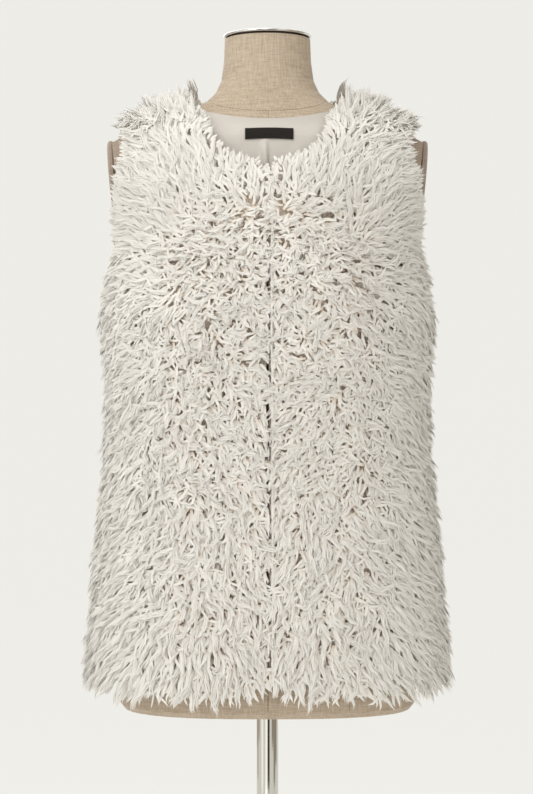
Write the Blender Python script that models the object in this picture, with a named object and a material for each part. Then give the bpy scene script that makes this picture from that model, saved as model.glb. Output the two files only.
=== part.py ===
# A long-pile fur vest on a limbless dress form that stands on a pole and a round foot.
# Metres, +Z up, the wearer's front faces -Y. The origin is on the floor under the pole.

import math
from collections import namedtuple

import bmesh
import bpy
import numpy as np
from mathutils import Vector
from mathutils.geometry import delaunay_2d_cdt

# One level of a body: height above the floor, half width, depth to the front, depth to the
# back, and how far its four quarters bulge past an ellipse.
Level = namedtuple("Level", "height half_width front back square")

FORM_LEVELS = [
    Level(0.6320, 0.1710, 0.1170, 0.1210, 0.090),
    Level(0.6380, 0.1755, 0.1210, 0.1260, 0.090),
    Level(0.6520, 0.1775, 0.1225, 0.1285, 0.085),
    Level(0.7000, 0.1800, 0.1200, 0.1310, 0.070),
    Level(0.7600, 0.1790, 0.1140, 0.1270, 0.050),
    Level(0.8600, 0.1600, 0.1020, 0.1040, 0.040),
    Level(0.9600, 0.1370, 0.0930, 0.0860, 0.035),
    Level(1.0300, 0.1440, 0.1040, 0.0880, 0.035),
    Level(1.1000, 0.1580, 0.1180, 0.0960, 0.035),
    Level(1.1600, 0.1570, 0.1110, 0.1020, 0.035),
    Level(1.2000, 0.1620, 0.1020, 0.1030, 0.035),
    Level(1.2350, 0.1800, 0.0930, 0.1010, 0.035),
    Level(1.2800, 0.1930, 0.0820, 0.0950, 0.035),
    Level(1.3030, 0.1900, 0.0750, 0.0890, 0.035),
    Level(1.3110, 0.1740, 0.0705, 0.0840, 0.035),
    Level(1.3180, 0.1460, 0.0660, 0.0770, 0.035),
    Level(1.3285, 0.1185, 0.0620, 0.0690, 0.035),
    Level(1.3405, 0.0950, 0.0585, 0.0620, 0.035),
    Level(1.3520, 0.0740, 0.0560, 0.0570, 0.035),
    Level(1.3640, 0.0620, 0.0540, 0.0545, 0.030),
    Level(1.3780, 0.0555, 0.0525, 0.0525, 0.020),
    Level(1.4020, 0.0522, 0.0512, 0.0512, 0.010),
    Level(1.4280, 0.0512, 0.0505, 0.0505, 0.000),
]

VEST_LEVELS = [
    Level(0.6700, 0.2010, 0.1420, 0.1480, 0.080),
    Level(0.7000, 0.2000, 0.1410, 0.1470, 0.070),
    Level(0.7450, 0.1960, 0.1390, 0.1450, 0.055),
    Level(0.8000, 0.1920, 0.1370, 0.1400, 0.050),
    Level(0.8700, 0.1850, 0.1370, 0.1290, 0.045),
    Level(0.9600, 0.1780, 0.1370, 0.1190, 0.040),
    Level(1.0200, 0.1780, 0.1370, 0.1150, 0.035),
    Level(1.0900, 0.1840, 0.1350, 0.1140, 0.035),
    Level(1.1300, 0.1785, 0.1300, 0.1150, 0.035),
    Level(1.1800, 0.1690, 0.1200, 0.1150, 0.035),
    Level(1.2200, 0.1790, 0.1110, 0.1140, 0.035),
    Level(1.2650, 0.1940, 0.0990, 0.1090, 0.035),
    Level(1.3037, 0.1900, 0.0850, 0.0990, 0.035),
    Level(1.3117, 0.1740, 0.0800, 0.0945, 0.035),
    Level(1.3189, 0.1460, 0.0750, 0.0850, 0.035),
    Level(1.3293, 0.1185, 0.0710, 0.0775, 0.035),
    Level(1.3414, 0.0950, 0.0675, 0.0705, 0.035),
    Level(1.3530, 0.0740, 0.0650, 0.0660, 0.035),
    Level(1.3651, 0.0620, 0.0630, 0.0635, 0.035),
]

QUARTER = 0.26  # cloth width from the middle to the side seam, at the hem
SEAM_HALF = 0.00017
SLIT_HALF_TOP = 0.0004
SLIT_HALF_LOW = 0.0014
SLIT_STARTS = 1.185

BUST_X = 0.088
BUST_Z = 1.095
BUST_WIDE = 0.055
BUST_TALL = 0.060
FORM_BUST = 0.016
VEST_BUST = 0.010

UNDERARM_Z = 1.188
HEM_SIDE_RISE = 0.020
HEM_SLIT_RISE = 0.017
SHOULDER_END_X = 0.1680
NECK_POINT_X = 0.0800
BACK_NECK_Z = 1.3440

# An armhole's edge from the underarm to the shoulder end: part of the way up, how far it cuts
# in from the side as a part of the quarter on the front and on the back.
ArmPoint = namedtuple("ArmPoint", "rise front back")
ARMHOLE = [
    ArmPoint(0.00, 0.00, 0.00),
    ArmPoint(0.04, 0.09, 0.08),
    ArmPoint(0.14, 0.18, 0.15),
    ArmPoint(0.30, 0.27, 0.22),
    ArmPoint(0.48, 0.37, 0.29),
    ArmPoint(0.68, 0.41, 0.33),
    ArmPoint(0.84, 0.38, 0.32),
    ArmPoint(0.94, 0.25, 0.22),
    ArmPoint(1.00, 0.00, 0.00),
]

# The scooped front neckline, from the middle to the shoulder.
NeckPoint = namedtuple("NeckPoint", "x height")
FRONT_NECK = [
    NeckPoint(0.000, 1.262),
    NeckPoint(0.016, 1.271),
    NeckPoint(0.034, 1.275),
    NeckPoint(0.050, 1.283),
    NeckPoint(0.064, 1.300),
    NeckPoint(0.074, 1.322),
]

# The fur: rows of locks like shingles, each one a high tip between two hollows.
ROW_STEP = 0.0174
COLUMN_STEP = 0.0112
TIP_HIGH = 0.0215
HOLLOW_HIGH = 0.0130
TIP_LEAN = 0.0050
INNER_STEP = 0.029
EDGE_STEP = 0.0115

# How the pile stands past each cut edge: a tip and a hollow, outward in the cloth and off it.
Edge = namedtuple("Edge", "tip_past hollow_past tip_high hollow_high")
EDGES = {
    "seam": Edge(0.0, 0.0, 0.0185, 0.0155),
    "slit": Edge(-0.0012, -0.0016, 0.0120, 0.0090),
    "hem": Edge(0.0185, 0.0095, 0.0125, 0.0100),
    "armhole": Edge(0.0110, 0.0060, 0.0120, 0.0100),
    "neck": Edge(0.0050, 0.0020, 0.0110, 0.0085),
}

YOKE_LIFT = 0.0006
YOKE_THICK = 0.0010
YOKE_STEP = 0.0085
PLEAT_HIGH = 0.0016
LABEL_WIDE = 0.0560
LABEL_TALL = 0.0128
LABEL_X = 0.0020
LABEL_Z = 1.3056
LABEL_THICK = 0.0008
GAP = 0.0003

ARM_TOP_X = 0.1860
ARM_LOW_X = 0.1770
ARM_TOP_Z = 1.3080
ARM_LOW_Z = 1.2120
ARM_DEEP = 0.0680
ARM_FLAT_LOW = 1.1950
ARM_FLAT_HIGH = 1.3115
ARM_THICK = 0.0065
ARM_BACK = 0.0050

POLE_RADIUS = 0.0130
SOCKET_DEPTH = 0.0900
BOSS_RADIUS = 0.0300
BOSS_HIGH = 0.0380
FOOT_RADIUS = 0.1900
FOOT_THICK = 0.0100
CAP_RADIUS = 0.0527
CAP_THICK = 0.0036
GASKET_THICK = 0.0016


def eased(known, values, wanted):
    """Smooth curve through the table's values that never overshoots them."""
    known = np.asarray(known, float)
    values = np.asarray(values, float)
    run = np.diff(known)
    rise = np.diff(values) / run
    slope = np.zeros(len(known))
    slope[0] = rise[0]
    slope[-1] = rise[-1]
    for i in range(1, len(known) - 1):
        if rise[i - 1] * rise[i] > 0:
            a = 2 * run[i] + run[i - 1]
            b = run[i] + 2 * run[i - 1]
            slope[i] = (a + b) / (a / rise[i - 1] + b / rise[i])
    wanted = np.clip(wanted, known[0], known[-1])
    at = np.clip(np.searchsorted(known, wanted) - 1, 0, len(run) - 1)
    t = (wanted - known[at]) / run[at]
    h = run[at]
    low = values[at] * (1 + 2 * t) * (1 - t) ** 2 + slope[at] * h * t * (1 - t) ** 2
    high = values[at + 1] * t * t * (3 - 2 * t) + slope[at + 1] * h * t * t * (t - 1)
    return low + high


def climb(levels):
    """Length up the side of a body to each of its levels."""
    total = [0.0]
    for low, high in zip(levels, levels[1:]):
        side = math.hypot(high.height - low.height, high.half_width - low.half_width)
        total.append(total[-1] + side)
    return total


def climb_at(levels, height):
    return float(eased([r.height for r in levels], climb(levels), height))


def climb_at_width(levels, half_width, above):
    """Length up the side to where the shoulder is this wide."""
    rows = [(r.half_width, c) for r, c in zip(levels, climb(levels)) if r.height > above]
    rows.sort()
    return float(eased([w for w, _ in rows], [c for _, c in rows], half_width))


def on_body(levels, bust, around, up, side):
    """Points of a body. around goes from 0, the middle, to 1, the side, and is less than 0 on
    the other half. up is the length up the side. side is -1 for the front, 1 for the back."""
    around = np.asarray(around, float)
    up = np.asarray(up, float)
    known = climb(levels)
    wide = eased(known, [r.half_width for r in levels], up)
    height = eased(known, [r.height for r in levels], up)
    depths = [r.front if side < 0 else r.back for r in levels]
    deep = eased(known, depths, up)
    square = eased(known, [r.square for r in levels], up)
    turn = around * math.pi / 2
    bulge = 1 + square * np.sin(2 * turn) ** 2
    x = wide * np.sin(turn) * bulge
    y = side * deep * np.cos(turn) * bulge
    if side < 0:
        across = ((np.abs(x) - BUST_X) / BUST_WIDE) ** 2
        along = ((height - BUST_Z) / BUST_TALL) ** 2
        y = y - bust * np.exp(-across - along) * np.cos(turn)
    return np.stack([x, y, height], axis=-1)


def body_frame(levels, bust, around, up, side):
    """Points with their outward normals and the two directions in the surface."""
    step = 0.0008
    here = on_body(levels, bust, around, up, side)
    wide_way = on_body(levels, bust, around + step, up, side) - here
    wide_way += here - on_body(levels, bust, around - step, up, side)
    up_way = on_body(levels, bust, around, up + step, side)
    up_way = up_way - on_body(levels, bust, around, up - step, side)
    normal = np.cross(wide_way, up_way) * -side
    normal /= np.linalg.norm(normal, axis=-1, keepdims=True)
    wide_way /= np.linalg.norm(wide_way, axis=-1, keepdims=True)
    up_way /= np.linalg.norm(up_way, axis=-1, keepdims=True)
    return here, normal, wide_way, up_way


def around_for_x(levels, x, up, side):
    """How far round a level the surface is this far from the middle."""
    low, high = 0.0, 1.0
    for _ in range(40):
        middle = (low + high) / 2
        if abs(on_body(levels, 0.0, middle, up, side)[0]) < abs(x):
            low = middle
        else:
            high = middle
    return (low + high) / 2


def walked(points, step):
    """The same open line in even steps, first and last point kept."""
    points = np.asarray(points, float)
    lengths = np.linalg.norm(np.diff(points, axis=0), axis=1)
    total = np.concatenate([[0.0], np.cumsum(lengths)])
    count = max(2, int(round(total[-1] / step)) + 1)
    at = np.linspace(0, total[-1], count)
    return np.stack([np.interp(at, total, points[:, i]) for i in range(2)], axis=1)


def smooth_line(points, count):
    """A smooth open line through a few points of the flat cut."""
    points = np.asarray(points, float)
    run = np.concatenate([[0.0], np.cumsum(np.linalg.norm(np.diff(points, axis=0), axis=1))])
    at = np.linspace(0, run[-1], count)
    return np.stack([eased(run, points[:, i], at) for i in range(2)], axis=1)


def outline(parts, step):
    """Joins named lines into one loop. Each corner goes to the edge that isn't a seam."""
    points = []
    kinds = []
    ways = []
    for kind, line, start_way, end_way in parts:
        line = walked(line, step)
        along = np.gradient(line, axis=0)
        way = np.stack([along[:, 1], -along[:, 0]], axis=1)
        way /= np.linalg.norm(way, axis=1, keepdims=True)
        if start_way is not None:
            way[0] = start_way
        if end_way is not None:
            way[-1] = end_way
        points.append(line)
        kinds.append([kind] * len(line))
        ways.append(way)
    loop_points = []
    loop_kinds = []
    loop_ways = []
    for i, line in enumerate(points):
        before = kinds[i - 1][0]
        here = kinds[i][0]
        first = 0
        last = len(line) - 1
        loop_points.extend(line[first:last])
        names = list(kinds[i][:last])
        these = list(ways[i][:last])
        if here in ("seam", "slit") and before not in ("seam", "slit"):
            names[0] = before
            these[0] = ways[i - 1][-1]
        loop_kinds.extend(names)
        loop_ways.extend(these)
    return np.array(loop_points), loop_kinds, np.array(loop_ways)


def inside_points(loop, row_step, column_step, clear, seed):
    """Staggered lattice inside a loop, with whether each point is a tip."""
    noise = np.random.default_rng(seed)
    low = loop.min(axis=0)
    high = loop.max(axis=0)
    rows = int((high[1] - low[1]) / row_step) + 2
    columns = int((high[0] - low[0]) / column_step) + 2
    row, column = np.meshgrid(np.arange(rows), np.arange(columns), indexing="ij")
    row = row.ravel()
    column = column.ravel()
    spots = np.stack([low[0] + (column + 0.25) * column_step, high[1] - (row + 0.35) * row_step], axis=1)
    spots += noise.uniform(-0.18, 0.18, spots.shape) * np.array([column_step, row_step])
    tips = (row + column) % 2 == 0
    ends = np.roll(loop, -1, axis=0)
    edge = ends - loop
    size = (edge * edge).sum(axis=1)
    share = ((spots[:, None, :] - loop) * edge).sum(axis=2) / size
    nearest = loop + edge * np.clip(share, 0, 1)[:, :, None]
    far = np.linalg.norm(nearest - spots[:, None, :], axis=2).min(axis=1)
    rise = np.where(edge[:, 1] == 0, 1e-12, edge[:, 1])
    crosses = (loop[:, 1] > spots[:, 1:]) != (ends[:, 1] > spots[:, 1:])
    where = loop[:, 0] + (spots[:, 1:] - loop[:, 1]) * edge[:, 0] / rise
    inside = (crosses & (where > spots[:, :1])).sum(axis=1) % 2 == 1
    keep = inside & (far >= clear)
    return spots[keep], tips[keep]


def filled(loop, inner):
    """Triangles that fill a loop and use its points and the inner ones, in that order."""
    count = len(loop)
    flat = [Vector(p) for p in np.concatenate([loop, inner])]
    edges = [(i, (i + 1) % count) for i in range(count)]
    verts, _, faces, origins, _, _ = delaunay_2d_cdt(flat, edges, [], 1, 1e-9)
    back = [o[0] for o in origins]
    return [tuple(back[i] for i in face) for face in faces]


def make_object(name, points, faces, color, roughness, metallic=0.0, smooth=None):
    mesh = bpy.data.meshes.new(name)
    mesh.from_pydata([tuple(p) for p in points], [], faces)
    work = bmesh.new()
    work.from_mesh(mesh)
    bmesh.ops.triangulate(work, faces=[f for f in work.faces if len(f.verts) > 4])
    bmesh.ops.recalc_face_normals(work, faces=work.faces)
    if work.calc_volume(signed=True) < 0:
        bmesh.ops.reverse_faces(work, faces=work.faces)
    work.to_mesh(mesh)
    work.free()
    item = bpy.data.objects.new(name, mesh)
    bpy.context.collection.objects.link(item)
    if smooth is not None:
        mesh.shade_smooth()
        mesh.set_sharp_from_angle(angle=math.radians(smooth))
    finish = bpy.data.materials.new(name + "_finish")
    finish.use_nodes = True
    shader = finish.node_tree.nodes["Principled BSDF"]
    shader.inputs["Base Color"].default_value = (*color, 1.0)
    shader.inputs["Roughness"].default_value = roughness
    shader.inputs["Metallic"].default_value = metallic
    mesh.materials.append(finish)
    return item


def wall(outer_points, outer_faces, inner_points, inner_faces, edge_count):
    """One closed wall from two skins that share the order of their edge points."""
    shift = len(outer_points)
    points = list(outer_points) + list(inner_points)
    faces = list(outer_faces)
    for face in inner_faces:
        faces.append(tuple(shift + i for i in reversed(face)))
    for i in range(edge_count):
        j = (i + 1) % edge_count
        faces.append((i, shift + i, shift + j))
        faces.append((i, shift + j, j))
    return points, faces


def slit_half(height):
    open_share = np.clip((SLIT_STARTS - height) / 0.06, 0, 1)
    return SLIT_HALF_TOP + (SLIT_HALF_LOW - SLIT_HALF_TOP) * open_share


def vest_up(height):
    return climb_at(VEST_LEVELS, height)


def seam_shy(up, side):
    """How far short of the side a seam edge stops, as a part of the quarter."""
    depths = [r.front if side < 0 else r.back for r in VEST_LEVELS]
    deep = eased(climb(VEST_LEVELS), depths, up)
    return SEAM_HALF / deep * 2 / math.pi


def panel_side(side, start_up, end_up):
    """A seam edge of the flat cut between two lengths up the side."""
    rows = np.linspace(start_up, end_up, 40)
    return np.stack([(1 - seam_shy(rows, side)) * QUARTER, rows], axis=1)


def armhole_line(side):
    """The armhole's edge in the flat cut, from the underarm up to the shoulder end."""
    low = vest_up(UNDERARM_Z)
    high = climb_at_width(VEST_LEVELS, SHOULDER_END_X, 1.27)
    cuts = [(p.front if side < 0 else p.back, p.rise) for p in ARMHOLE]
    line = smooth_line([((1 - cut) * QUARTER, low + (high - low) * rise) for cut, rise in cuts], 60)
    line[0, 0] = (1 - seam_shy(low, side)) * QUARTER
    line[-1, 0] = (1 - seam_shy(high, side)) * QUARTER
    return line


def front_neck_line():
    """The neckline in the flat cut, from the shoulder seam down to the middle."""
    line = []
    for spot in FRONT_NECK:
        up = vest_up(spot.height)
        x = max(spot.x, float(slit_half(spot.height)))
        line.append((around_for_x(VEST_LEVELS, x, up, -1) * QUARTER, up))
    top = climb_at_width(VEST_LEVELS, NECK_POINT_X, 1.27)
    line.append(((1 - seam_shy(top, -1)) * QUARTER, top))
    return smooth_line(line, 60)[::-1]


def hem_line(start_u, end_u):
    """The hem in the flat cut: level, rounded up a little at the side seams."""
    u = np.linspace(start_u, end_u, 60)
    return np.stack([u, HEM_SIDE_RISE * np.abs(u / QUARTER) ** 4], axis=1)


def front_cut():
    neck = front_neck_line()
    side = panel_side(-1, HEM_SIDE_RISE, vest_up(UNDERARM_Z))
    hem = hem_line(0.0, side[0, 0])
    hem[:, 1] += HEM_SLIT_RISE * np.exp(-hem[:, 0] / HEM_SLIT_RISE)
    hem[-1] = side[0]
    known = climb(VEST_LEVELS)
    middle_up = np.linspace(neck[-1, 1], hem[0, 1], 40)
    half = slit_half(eased(known, [r.height for r in VEST_LEVELS], middle_up))
    wide = eased(known, [r.half_width for r in VEST_LEVELS], middle_up)
    middle = np.stack([np.arcsin(half / wide) * 2 / math.pi * QUARTER, middle_up], axis=1)
    hem[0] = middle[-1]
    neck[-1] = middle[0]
    shoulder_low = climb_at_width(VEST_LEVELS, SHOULDER_END_X, 1.27)
    down = (0.0, -1.0)
    up = (0.0, 1.0)
    return [
        ("slit", middle, None, None),
        ("hem", hem, down, down),
        ("seam", side, None, None),
        ("armhole", armhole_line(-1), up, down),
        ("seam", panel_side(-1, shoulder_low, neck[0, 1]), None, None),
        ("neck", neck, up, up),
    ]


def back_cut():
    """Half of the back, cut along a seam down its middle."""
    top = climb_at_width(VEST_LEVELS, NECK_POINT_X, 1.27)
    dip = vest_up(BACK_NECK_Z)
    edge = (1 - seam_shy(top, 1)) * QUARTER
    share = np.linspace(1, 0, 60)
    neck = np.stack([edge * share, dip + (top - dip) * share ** 2.6], axis=1)
    shoulder_low = climb_at_width(VEST_LEVELS, SHOULDER_END_X, 1.27)
    side = panel_side(1, HEM_SIDE_RISE, vest_up(UNDERARM_Z))
    hem = hem_line(0.0, side[0, 0])
    hem[-1] = side[0]
    middle_up = np.linspace(dip, 0.0, 40)
    wide = eased(climb(VEST_LEVELS), [r.half_width for r in VEST_LEVELS], middle_up)
    middle = np.stack([np.arcsin(SEAM_HALF / wide) * 2 / math.pi * QUARTER, middle_up], axis=1)
    hem[0] = middle[-1]
    neck[-1] = middle[0]
    down = (0.0, -1.0)
    up = (0.0, 1.0)
    return [
        ("seam", middle, None, None),
        ("hem", hem, down, down),
        ("seam", side, None, None),
        ("armhole", armhole_line(1), up, down),
        ("seam", panel_side(1, shoulder_low, top), None, None),
        ("neck", neck, up, up),
    ]


def flow(u, v, side):
    """Which way the tips lean in the flat cut: down, and outward low on the body."""
    out = np.sign(u) * (0.25 + 0.45 * np.clip(np.abs(u) / QUARTER, 0, 1))
    lean = np.stack([out, -np.ones_like(v)], axis=-1)
    return lean / np.linalg.norm(lean, axis=-1, keepdims=True)


def make_pelt(name, cut, side, mirror, seed, color):
    """A wall of fur: a plain inside on the body, an outside raised into rows of locks."""
    noise = np.random.default_rng(seed)
    loop, kinds, ways = outline(cut, EDGE_STEP)
    inner, tips = inside_points(loop, ROW_STEP, COLUMN_STEP, 0.0070, seed)
    plain, _ = inside_points(loop, INNER_STEP, INNER_STEP, 0.011, seed + 50)
    outer_faces = filled(loop, inner)
    inner_faces = filled(loop, plain)

    base, normal, wide_way, up_way = body_frame(
        VEST_LEVELS, VEST_BUST, loop[:, 0] / QUARTER, loop[:, 1], side
    )
    rim = np.zeros_like(base)
    for i, kind in enumerate(kinds):
        edge = EDGES[kind]
        tip = i % 2 == 0
        past = edge.tip_past if tip else edge.hollow_past
        high = edge.tip_high if tip else edge.hollow_high
        if kind not in ("seam", "slit"):
            past += noise.uniform(-0.002, 0.002)
        high += noise.uniform(-0.001, 0.001)
        out = ways[i][0] * wide_way[i] + ways[i][1] * up_way[i]
        rim[i] = base[i] + normal[i] * high + out * past
    inside = base

    spots, off, wide, rise = body_frame(
        VEST_LEVELS, VEST_BUST, inner[:, 0] / QUARTER, inner[:, 1], side
    )
    lean = flow(inner[:, 0], inner[:, 1], side)
    high = np.where(tips, TIP_HIGH, HOLLOW_HIGH) + noise.uniform(-0.002, 0.002, len(inner))
    shift = np.where(tips, TIP_LEAN, 0.0) * noise.uniform(0.7, 1.1, len(inner))
    skin = spots + off * high[:, None]
    skin += (lean[:, :1] * wide + lean[:, 1:] * rise) * shift[:, None]

    under = body_frame(VEST_LEVELS, VEST_BUST, plain[:, 0] / QUARTER, plain[:, 1], side)[0]
    outside = np.concatenate([rim, skin])
    inside = np.concatenate([inside, under])
    points, faces = wall(outside, outer_faces, inside, inner_faces, len(loop))
    points = np.array(points)
    if mirror:
        points[:, 0] *= -1
    return make_object(name, points, faces, color, 0.9)


def yoke_wall(name, line, low_lift, high_lift, step, color, folded, roughness):
    """A thin sheet that lies on the chest of the form, from its outline in x and height."""
    flat = []
    for x, height in line:
        up = climb_at(FORM_LEVELS, height)
        flat.append((math.copysign(around_for_x(FORM_LEVELS, x, up, -1), x) * QUARTER, up))
    loop = np.array(flat)
    inner, _ = inside_points(loop, step, step * 1.6, step * 0.45, 3)
    faces = filled(loop, inner)
    every = np.concatenate([loop, inner])
    base, normal, _, _ = body_frame(FORM_LEVELS, FORM_BUST, every[:, 0] / QUARTER, every[:, 1], -1)
    fold = np.zeros(len(every))
    if folded:
        low = np.clip((LABEL_Z - 0.004 - base[:, 2]) / 0.02, 0, 1)
        fold = PLEAT_HIGH * low * np.exp(-((base[:, 0] + 0.004) / 0.006) ** 2)
        fold += 0.0005 * (1 + np.sin(base[:, 0] * 95 + base[:, 2] * 60))
    outer = base + normal * (high_lift + fold)[:, None]
    under = base + normal * (low_lift + fold)[:, None]
    points, all_faces = wall(outer, faces, under, faces, len(loop))
    return make_object(name, points, all_faces, color, roughness, smooth=50)


def turned(name, profile, segments, color, roughness, metallic=0.0, hole=False, smooth=40):
    """A round body from radius and height pairs, closed on its axis or round a hole."""
    points = []
    faces = []
    rings = []
    for radius, height in profile:
        if radius == 0:
            rings.append([len(points)])
            points.append((0.0, 0.0, height))
            continue
        ring = []
        for i in range(segments):
            turn = 2 * math.pi * i / segments
            ring.append(len(points))
            points.append((radius * math.cos(turn), radius * math.sin(turn), height))
        rings.append(ring)
    pairs = list(zip(rings, rings[1:]))
    if hole:
        pairs.append((rings[-1], rings[0]))
    for low, high in pairs:
        for i in range(segments):
            j = (i + 1) % segments
            if len(low) == 1:
                faces.append((low[0], high[j], high[i]))
            elif len(high) == 1:
                faces.append((low[i], low[j], high[0]))
            else:
                faces.append((low[i], low[j], high[j], high[i]))
    return make_object(name, points, faces, color, roughness, metallic, smooth)


def arm_plane(height):
    share = (height - ARM_LOW_Z) / (ARM_TOP_Z - ARM_LOW_Z)
    return ARM_LOW_X + (ARM_TOP_X - ARM_LOW_X) * share


def make_torso():
    """The padded body, with flat arm ends and a socket for the pole under it."""
    segments = 48
    up_total = climb(FORM_LEVELS)
    ups = []
    for low, high in zip(up_total, up_total[1:]):
        step = 0.060 if low < climb_at(FORM_LEVELS, 1.12) else 0.018
        count = max(1, int(round((high - low) / step)))
        ups.extend(np.linspace(low, high, count, endpoint=False))
    ups.append(up_total[-1])
    points = []
    faces = []
    rings = []
    for up in ups:
        ring = []
        for i in range(segments):
            turn = 4 * i / segments
            side = -1 if turn < 1 or turn > 3 else 1
            around = turn if turn <= 1 else 2 - turn if turn <= 3 else turn - 4
            x, y, z = on_body(FORM_LEVELS, FORM_BUST, around, up, side)
            limit = arm_plane(z)
            if abs(x) > limit and ARM_FLAT_LOW < z < ARM_FLAT_HIGH:
                x = math.copysign(limit, x)
            ring.append(len(points))
            points.append((x, y, z))
        rings.append(ring)
    for low, high in zip(rings, rings[1:]):
        for i in range(segments):
            j = (i + 1) % segments
            faces.append((low[i], low[j], high[j], high[i]))
    top = len(points)
    points.append((0.0, 0.0, FORM_LEVELS[-1].height))
    for i in range(segments):
        faces.append((rings[-1][i], rings[-1][(i + 1) % segments], top))
    bore = POLE_RADIUS + GAP
    floor = FORM_LEVELS[0].height
    mouth = []
    roof = []
    for i in range(segments):
        x, y, _ = points[rings[0][i]]
        turn = math.atan2(y, x)
        mouth.append(len(points))
        points.append((bore * math.cos(turn), bore * math.sin(turn), floor))
    for i in range(segments):
        x, y, _ = points[mouth[i]]
        roof.append(len(points))
        points.append((x, y, floor + SOCKET_DEPTH))
    end = len(points)
    points.append((0.0, 0.0, floor + SOCKET_DEPTH))
    for i in range(segments):
        j = (i + 1) % segments
        faces.append((rings[0][j], rings[0][i], mouth[i], mouth[j]))
        faces.append((mouth[j], mouth[i], roof[i], roof[j]))
        faces.append((roof[j], roof[i], end))
    return make_object("form_torso", points, faces, (0.53, 0.42, 0.30), 0.85, smooth=50)


def make_arm_plate(name, sign):
    """An oval plate with a rounded rim that closes one arm end."""
    segments = 32
    half_tall = (ARM_TOP_Z - ARM_LOW_Z) / 2
    middle = (ARM_TOP_Z + ARM_LOW_Z) / 2
    lean = (ARM_TOP_X - ARM_LOW_X) / (ARM_TOP_Z - ARM_LOW_Z)
    # part of the full outline, distance out from the arm end
    steps = [
        (0.0, 0.0),
        (0.975, 0.0),
        (1.0, 0.14),
        (1.0, 0.62),
        (0.96, 0.90),
        (0.88, 1.00),
        (0.50, 1.06),
        (0.0, 1.08),
    ]
    points = []
    faces = []
    rings = []
    for share, out in steps:
        if share == 0:
            rings.append([len(points)])
            points.append((sign * (arm_plane(middle) + GAP + ARM_THICK * out), ARM_BACK, middle))
            continue
        ring = []
        for i in range(segments):
            turn = 2 * math.pi * i / segments
            z = middle + half_tall * share * math.sin(turn)
            y = ARM_BACK + ARM_DEEP / 2 * share * math.cos(turn) * (1 - 0.12 * math.sin(turn))
            x = arm_plane(z) + GAP + ARM_THICK * out
            ring.append(len(points))
            points.append((sign * x, y, z - lean * ARM_THICK * out))
        rings.append(ring)
    for low, high in zip(rings, rings[1:]):
        for i in range(segments):
            j = (i + 1) % segments
            if len(low) == 1:
                faces.append((low[0], high[i], high[j]))
            elif len(high) == 1:
                faces.append((low[i], high[0], low[j]))
            else:
                faces.append((low[i], high[i], high[j], low[j]))
    return make_object(name, points, faces, (0.42, 0.34, 0.28), 0.8, smooth=50)


def yoke_outline():
    """The satin's outline on the chest: top edge dips in the middle, low edge hangs in the vest."""
    line = []
    for share in np.linspace(-1, 1, 25):
        line.append((0.0790 * share, 1.3250 + 0.0120 * share * share))
    for turn in np.linspace(0, math.pi, 33)[1:-1]:
        x = 0.0790 * math.cos(turn) * (1 + 0.06 * math.sin(turn))
        line.append((x, 1.3370 - 0.0900 * math.sin(turn) ** 0.8))
    return line[::-1]


def label_outline():
    """The label's four edges in x and height, walked in small steps."""
    corners = [(-0.5, -0.5), (0.5, -0.5), (0.5, 0.5), (-0.5, 0.5), (-0.5, -0.5)]
    line = []
    for start, end in zip(corners, corners[1:]):
        count = 10 if start[1] == end[1] else 3
        for i in range(count):
            share = i / count
            x = start[0] + (end[0] - start[0]) * share
            z = start[1] + (end[1] - start[1]) * share
            line.append((LABEL_X + x * LABEL_WIDE, LABEL_Z + z * LABEL_TALL))
    return line


for item in list(bpy.data.objects):
    bpy.data.objects.remove(item, do_unlink=True)

fur = (0.74, 0.69, 0.60)
make_pelt("front_left", front_cut(), -1, False, 11, fur)
make_pelt("front_right", front_cut(), -1, True, 23, fur)
make_pelt("back_left", back_cut(), 1, False, 37, fur)
make_pelt("back_right", back_cut(), 1, True, 37, fur)

lift = YOKE_LIFT + YOKE_THICK
yoke_wall("lining_yoke", yoke_outline(), YOKE_LIFT, lift, YOKE_STEP, (0.78, 0.72, 0.66), True, 0.4)
label_low = lift + 0.0010 + GAP
label_high = label_low + LABEL_THICK
yoke_wall("neck_label", label_outline(), label_low, label_high, 0.0042, (0.02, 0.018, 0.016), False, 0.7)

make_torso()
make_arm_plate("form_arm_plate_left", 1)
make_arm_plate("form_arm_plate_right", -1)

neck_top = FORM_LEVELS[-1].height
gasket_low = neck_top + GAP
gasket_high = gasket_low + GASKET_THICK
gasket_line = [(0.0, gasket_low), (0.0490, gasket_low), (0.0490, gasket_high), (0.0, gasket_high)]
turned("neck_gasket", gasket_line, 48, (0.03, 0.025, 0.02), 0.8)
cap_low = gasket_high + GAP
cap_line = [
    (0.0, cap_low),
    (CAP_RADIUS - 0.0012, cap_low),
    (CAP_RADIUS, cap_low + 0.0010),
    (CAP_RADIUS, cap_low + 0.0020),
    (CAP_RADIUS - 0.0012, cap_low + 0.0029),
    (CAP_RADIUS * 0.7, cap_low + CAP_THICK),
    (0.0, cap_low + CAP_THICK + 0.0006),
]
turned("neck_cap", cap_line, 48, (0.75, 0.74, 0.72), 0.15, 1.0)

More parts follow.
